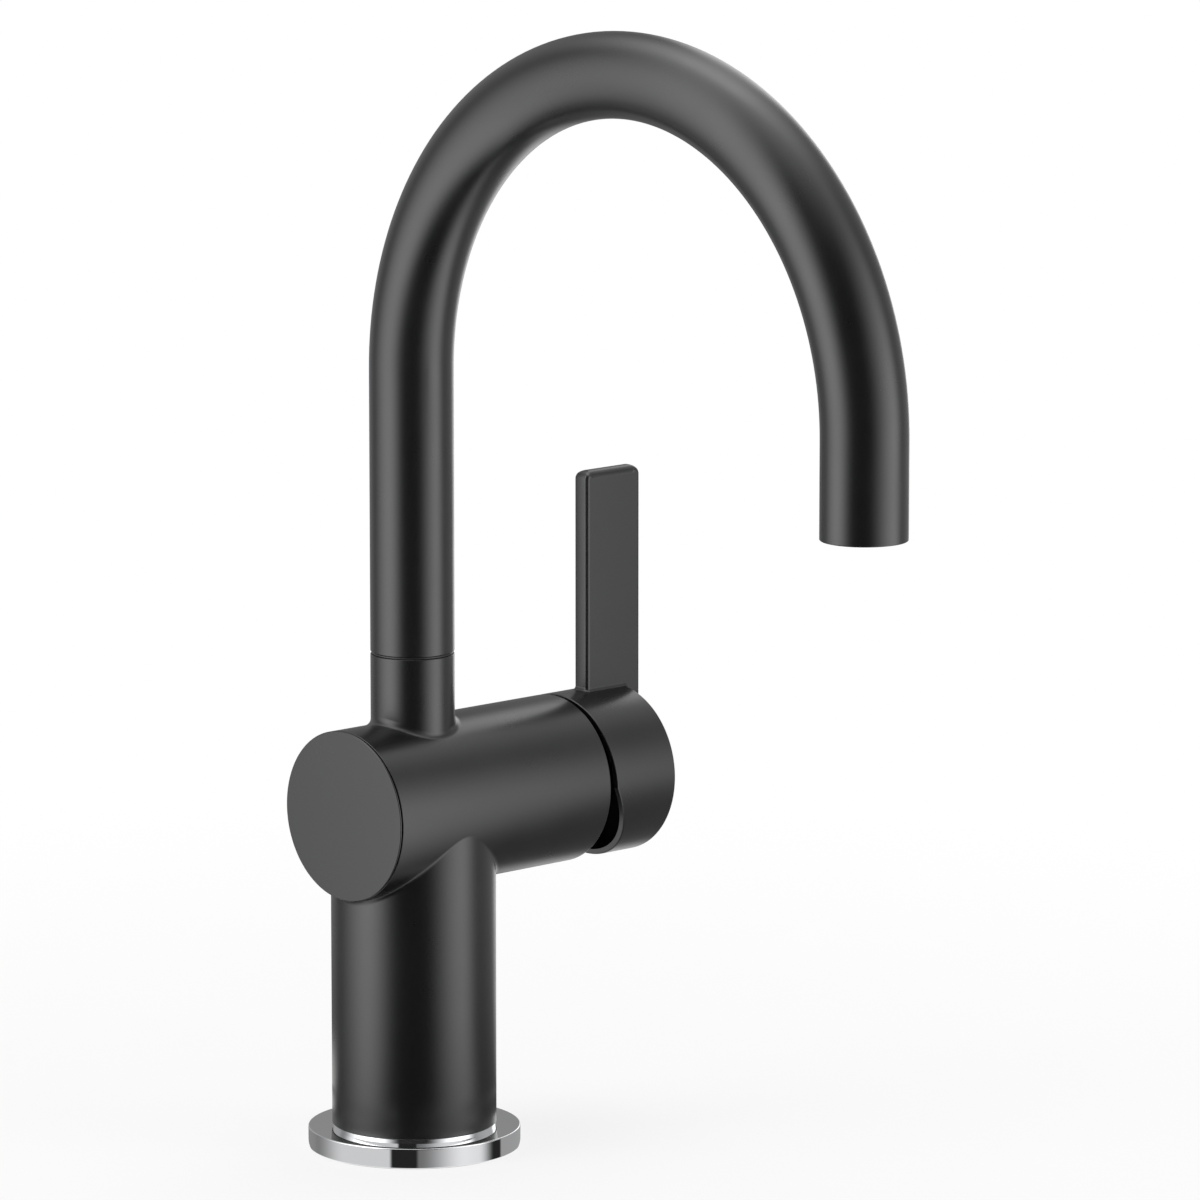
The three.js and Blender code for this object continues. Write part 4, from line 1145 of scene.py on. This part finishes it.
# The tent round the object is seen only by its gloss: dark cloth with soft panels of light. Each panel
# has its angle, how far from there it stays full and where it ends on either side, and the rises
# between which it comes in. The cloth and its panels darken towards the floor, and the low panels don't.
tent = {
    "height": 0.17, "radius": 0.9, "roof": 1.2, "inner": 0.045, "corners": (120, 300),
    "cloth": 0.03, "floorRises": (-76, 0), "floorLevel": 0.25,
    "panels": [
        {"angle": -61, "left": (0, 66), "right": (0, 42), "rises": (84, 34), "level": 2.6},
        {"angle": 71, "left": (0, 54), "right": (0, 28), "rises": (70, -2), "level": 2.4},
        {"angle": 148, "left": (20, 110), "right": (5, 50), "level": 0.45},
        {"angle": -146, "left": (8, 45), "right": (10, 40), "level": 0.4},
        {"angle": 160, "left": (4, 18), "right": (4, 15), "rises": (60, 30), "level": 1.3},
        {"angle": 180, "left": (0, 160), "right": (0, 160), "rises": (35, 95), "level": 1.6},
        {"rises": (35, 95), "level": 1.9},
    ],
    "lowPanels": [
        {"angle": -60, "left": (2, 34), "right": (2, 34), "rises": (-5, -40), "level": 0.6},
        {"angle": 60, "left": (4, 40), "right": (4, 30), "rises": (-5, -40), "level": 0.5},
        {"angle": -149, "left": (14, 34), "right": (14, 34), "rises": (-45, -58), "level": 0.9},
    ],
}

# What the chrome ring's side and collar see: a low skirt of the same cloth in two bands, close to it.
skirt = {
    "radius": 0.045, "bands": {"lowSkirt": (-0.006, 0.0034), "highSkirt": (0.0086, 0.0104)}, "cloth": 0.02,
    "panels": [
        {"angle": -46, "left": (6, 48), "right": (29, 32), "level": 0.68},
        {"angle": 44, "left": (4, 40), "right": (6, 22), "level": 0.76},
        {"angle": 20, "left": (15, 18), "right": (10, 46), "level": 0.16},
        {"angle": 100, "left": (24, 27), "right": (20, 60), "level": 0.34},
        {"angle": -120, "left": (40, 60), "right": (20, 55), "level": 0.24},
        {"angle": 180, "left": (20, 60), "right": (10, 50), "level": 0.12},
    ],
}


# A soft step from start to 1, while the value goes from low to high.
def softStep(tree, value, low, high, start=0.0):
    inputs = {"Value": value, "From Min": low, "From Max": high, "To Min": start}
    return addNode(tree, "ShaderNodeMapRange", inputs, interpolation_type="SMOOTHSTEP").outputs["Result"]


def panelLight(tree, angle, rise, panel):
    light = panel["level"]
    if "left" in panel:
        aside = mathNode(tree, "SUBTRACT", angle, math.radians(panel["angle"]))
        aside = mathNode(tree, "WRAP", aside, math.pi, -math.pi)
        (leftFull, leftEnd), (rightFull, rightEnd) = np.radians([panel["left"], panel["right"]])
        sides = softStep(tree, aside, -leftEnd, -leftFull), softStep(tree, aside, rightEnd, rightFull)
        light = mathNode(tree, "MULTIPLY", mathNode(tree, "MULTIPLY", *sides), light)
    if "rises" in panel:
        light = mathNode(tree, "MULTIPLY", softStep(tree, rise, *np.radians(panel["rises"])), light)
    return light


# A material with nothing on its output yet.
def emptyMaterial(name):
    material = bpy.data.materials.new(name)
    material.use_nodes = True
    tree = material.node_tree
    tree.nodes.remove(tree.nodes["Principled BSDF"])
    return material, tree, tree.nodes["Material Output"]


def clothMaterial(name, cloth):
    material, tree, output = emptyMaterial(name)
    x, y, z, flat = splitPlace(tree, ownPlace(tree))
    angle = mathNode(tree, "ARCTAN2", y, x)
    rise = mathNode(tree, "ARCTAN2", z, flat)
    light = cloth["cloth"]
    for panel in cloth["panels"]:
        light = mathNode(tree, "ADD", light, panelLight(tree, angle, rise, panel))
    if "floorRises" in cloth:
        clear = softStep(tree, rise, *np.radians(cloth["floorRises"]), cloth["floorLevel"])
        light = mathNode(tree, "MULTIPLY", light, clear)
    for panel in cloth.get("lowPanels", []):
        light = mathNode(tree, "ADD", light, panelLight(tree, angle, rise, panel))
    feed(tree, output, {"Surface": addNode(tree, "ShaderNodeEmission", {"Strength": light}).outputs[0]})
    return material


# Something that only reflections see, with its zero angle towards the camera.
def addReflected(name, corners, height, cloth):
    mesh = turnedMesh(name, corners, arcSteps=12)
    mesh.materials.append(clothMaterial(name + "Cloth", cloth))
    made = newObject(name, mesh)
    made.location.z = height
    made.rotation_euler.z = viewAngle
    made.visible_camera = made.visible_diffuse = made.visible_shadow = made.visible_transmission = False
    made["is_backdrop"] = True


floorGap = 0.0004  # metres above the floor
lowEnd = floorGap - tent["height"]
low, inner, radius, roof = (value / mm for value in (lowEnd, *pick(tent, "inner radius roof")))
tentOutline = [(inner, low), (radius, low, tent["corners"][0]), (radius, roof, tent["corners"][1]), (0, roof)]
addReflected("tent", tentOutline, tent["height"], tent)
for name, band in skirt["bands"].items():
    addReflected(name, [(skirt["radius"] / mm, end / mm) for end in band], 0, skirt)


# White for the camera and in reflections, plain grey light on the object.
def whiteRays(tree):
    path = addNode(tree, "ShaderNodeLightPath").outputs
    glossy = mathNode(tree, "ADD", path["Is Camera Ray"], path["Is Glossy Ray"])
    return mathNode(tree, "ADD", glossy, path["Is Transmission Ray"], clamp=True)


world = bpy.data.worlds.new("studioWorld")
bpy.context.scene.world = world
world.use_nodes = True
tree = world.node_tree
seen = mathNode(tree, "MULTIPLY", whiteRays(tree), 1 - studio["ambient"])
feed(tree, tree.nodes["Background"], {
    "Color": (1, 1, 1), "Strength": mathNode(tree, "ADD", seen, studio["ambient"]),
})

floorLook = {
    "first": (0.78, 0.78, 0.78), "second": (0.82, 0.82, 0.82), "tintSize": 60.0, "white": 0.8,
    "fadeStart": 0.08, "fadeEnd": 0.55, "radii": [17.5, 60, 200, 800, 3000, 14000], "sides": 96,
}


# The floor is pale and takes the object's shadow. It fades to plain white, and from below it isn't seen.
def floorMaterial():
    material, tree, output = emptyMaterial("paleFloor")
    first, second, size, start, end = pick(floorLook, "first second tintSize fadeStart fadeEnd")
    pale = placeGroup(tree, "tint", {"Size": size, "First": first, "Second": second})
    away = addNode(tree, "ShaderNodeVectorMath", {0: ownPlace(tree)}, operation="LENGTH").outputs["Value"]
    share = mathNode(tree, "MULTIPLY", softStep(tree, away, start, end, floorLook["white"]), whiteRays(tree))
    matte = addNode(tree, "ShaderNodeBsdfDiffuse", {"Color": pale["Color"]}).outputs[0]
    white = addNode(tree, "ShaderNodeEmission").outputs[0]
    clear = addNode(tree, "ShaderNodeBsdfTransparent").outputs[0]
    behind = addNode(tree, "ShaderNodeNewGeometry").outputs["Backfacing"]
    above = addNode(tree, "ShaderNodeMixShader", {0: share, 1: matte, 2: white}).outputs[0]
    both = addNode(tree, "ShaderNodeMixShader", {0: behind, 1: above, 2: clear}).outputs[0]
    feed(tree, output, {"Surface": both})
    return material


# A round floor with the deck hole that the shank passes through.
def floorMesh():
    points = roundAxis(evenAngles(floorLook["sides"]), np.array(floorLook["radii"])[:, None], 0.0)
    shell = newShell()
    addGrid(shell, points, np.array([0, 0, 1.0]), ring=True)
    mesh = meshFrom("floor", shell)
    mesh.materials.append(floorMaterial())
    return mesh


floor = newObject("floor", floorMesh())
floor.visible_glossy = False
floor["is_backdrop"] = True
bpy.context.scene.view_settings.view_transform = "Standard"
print("camera, floor and lamps placed")

low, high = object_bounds()
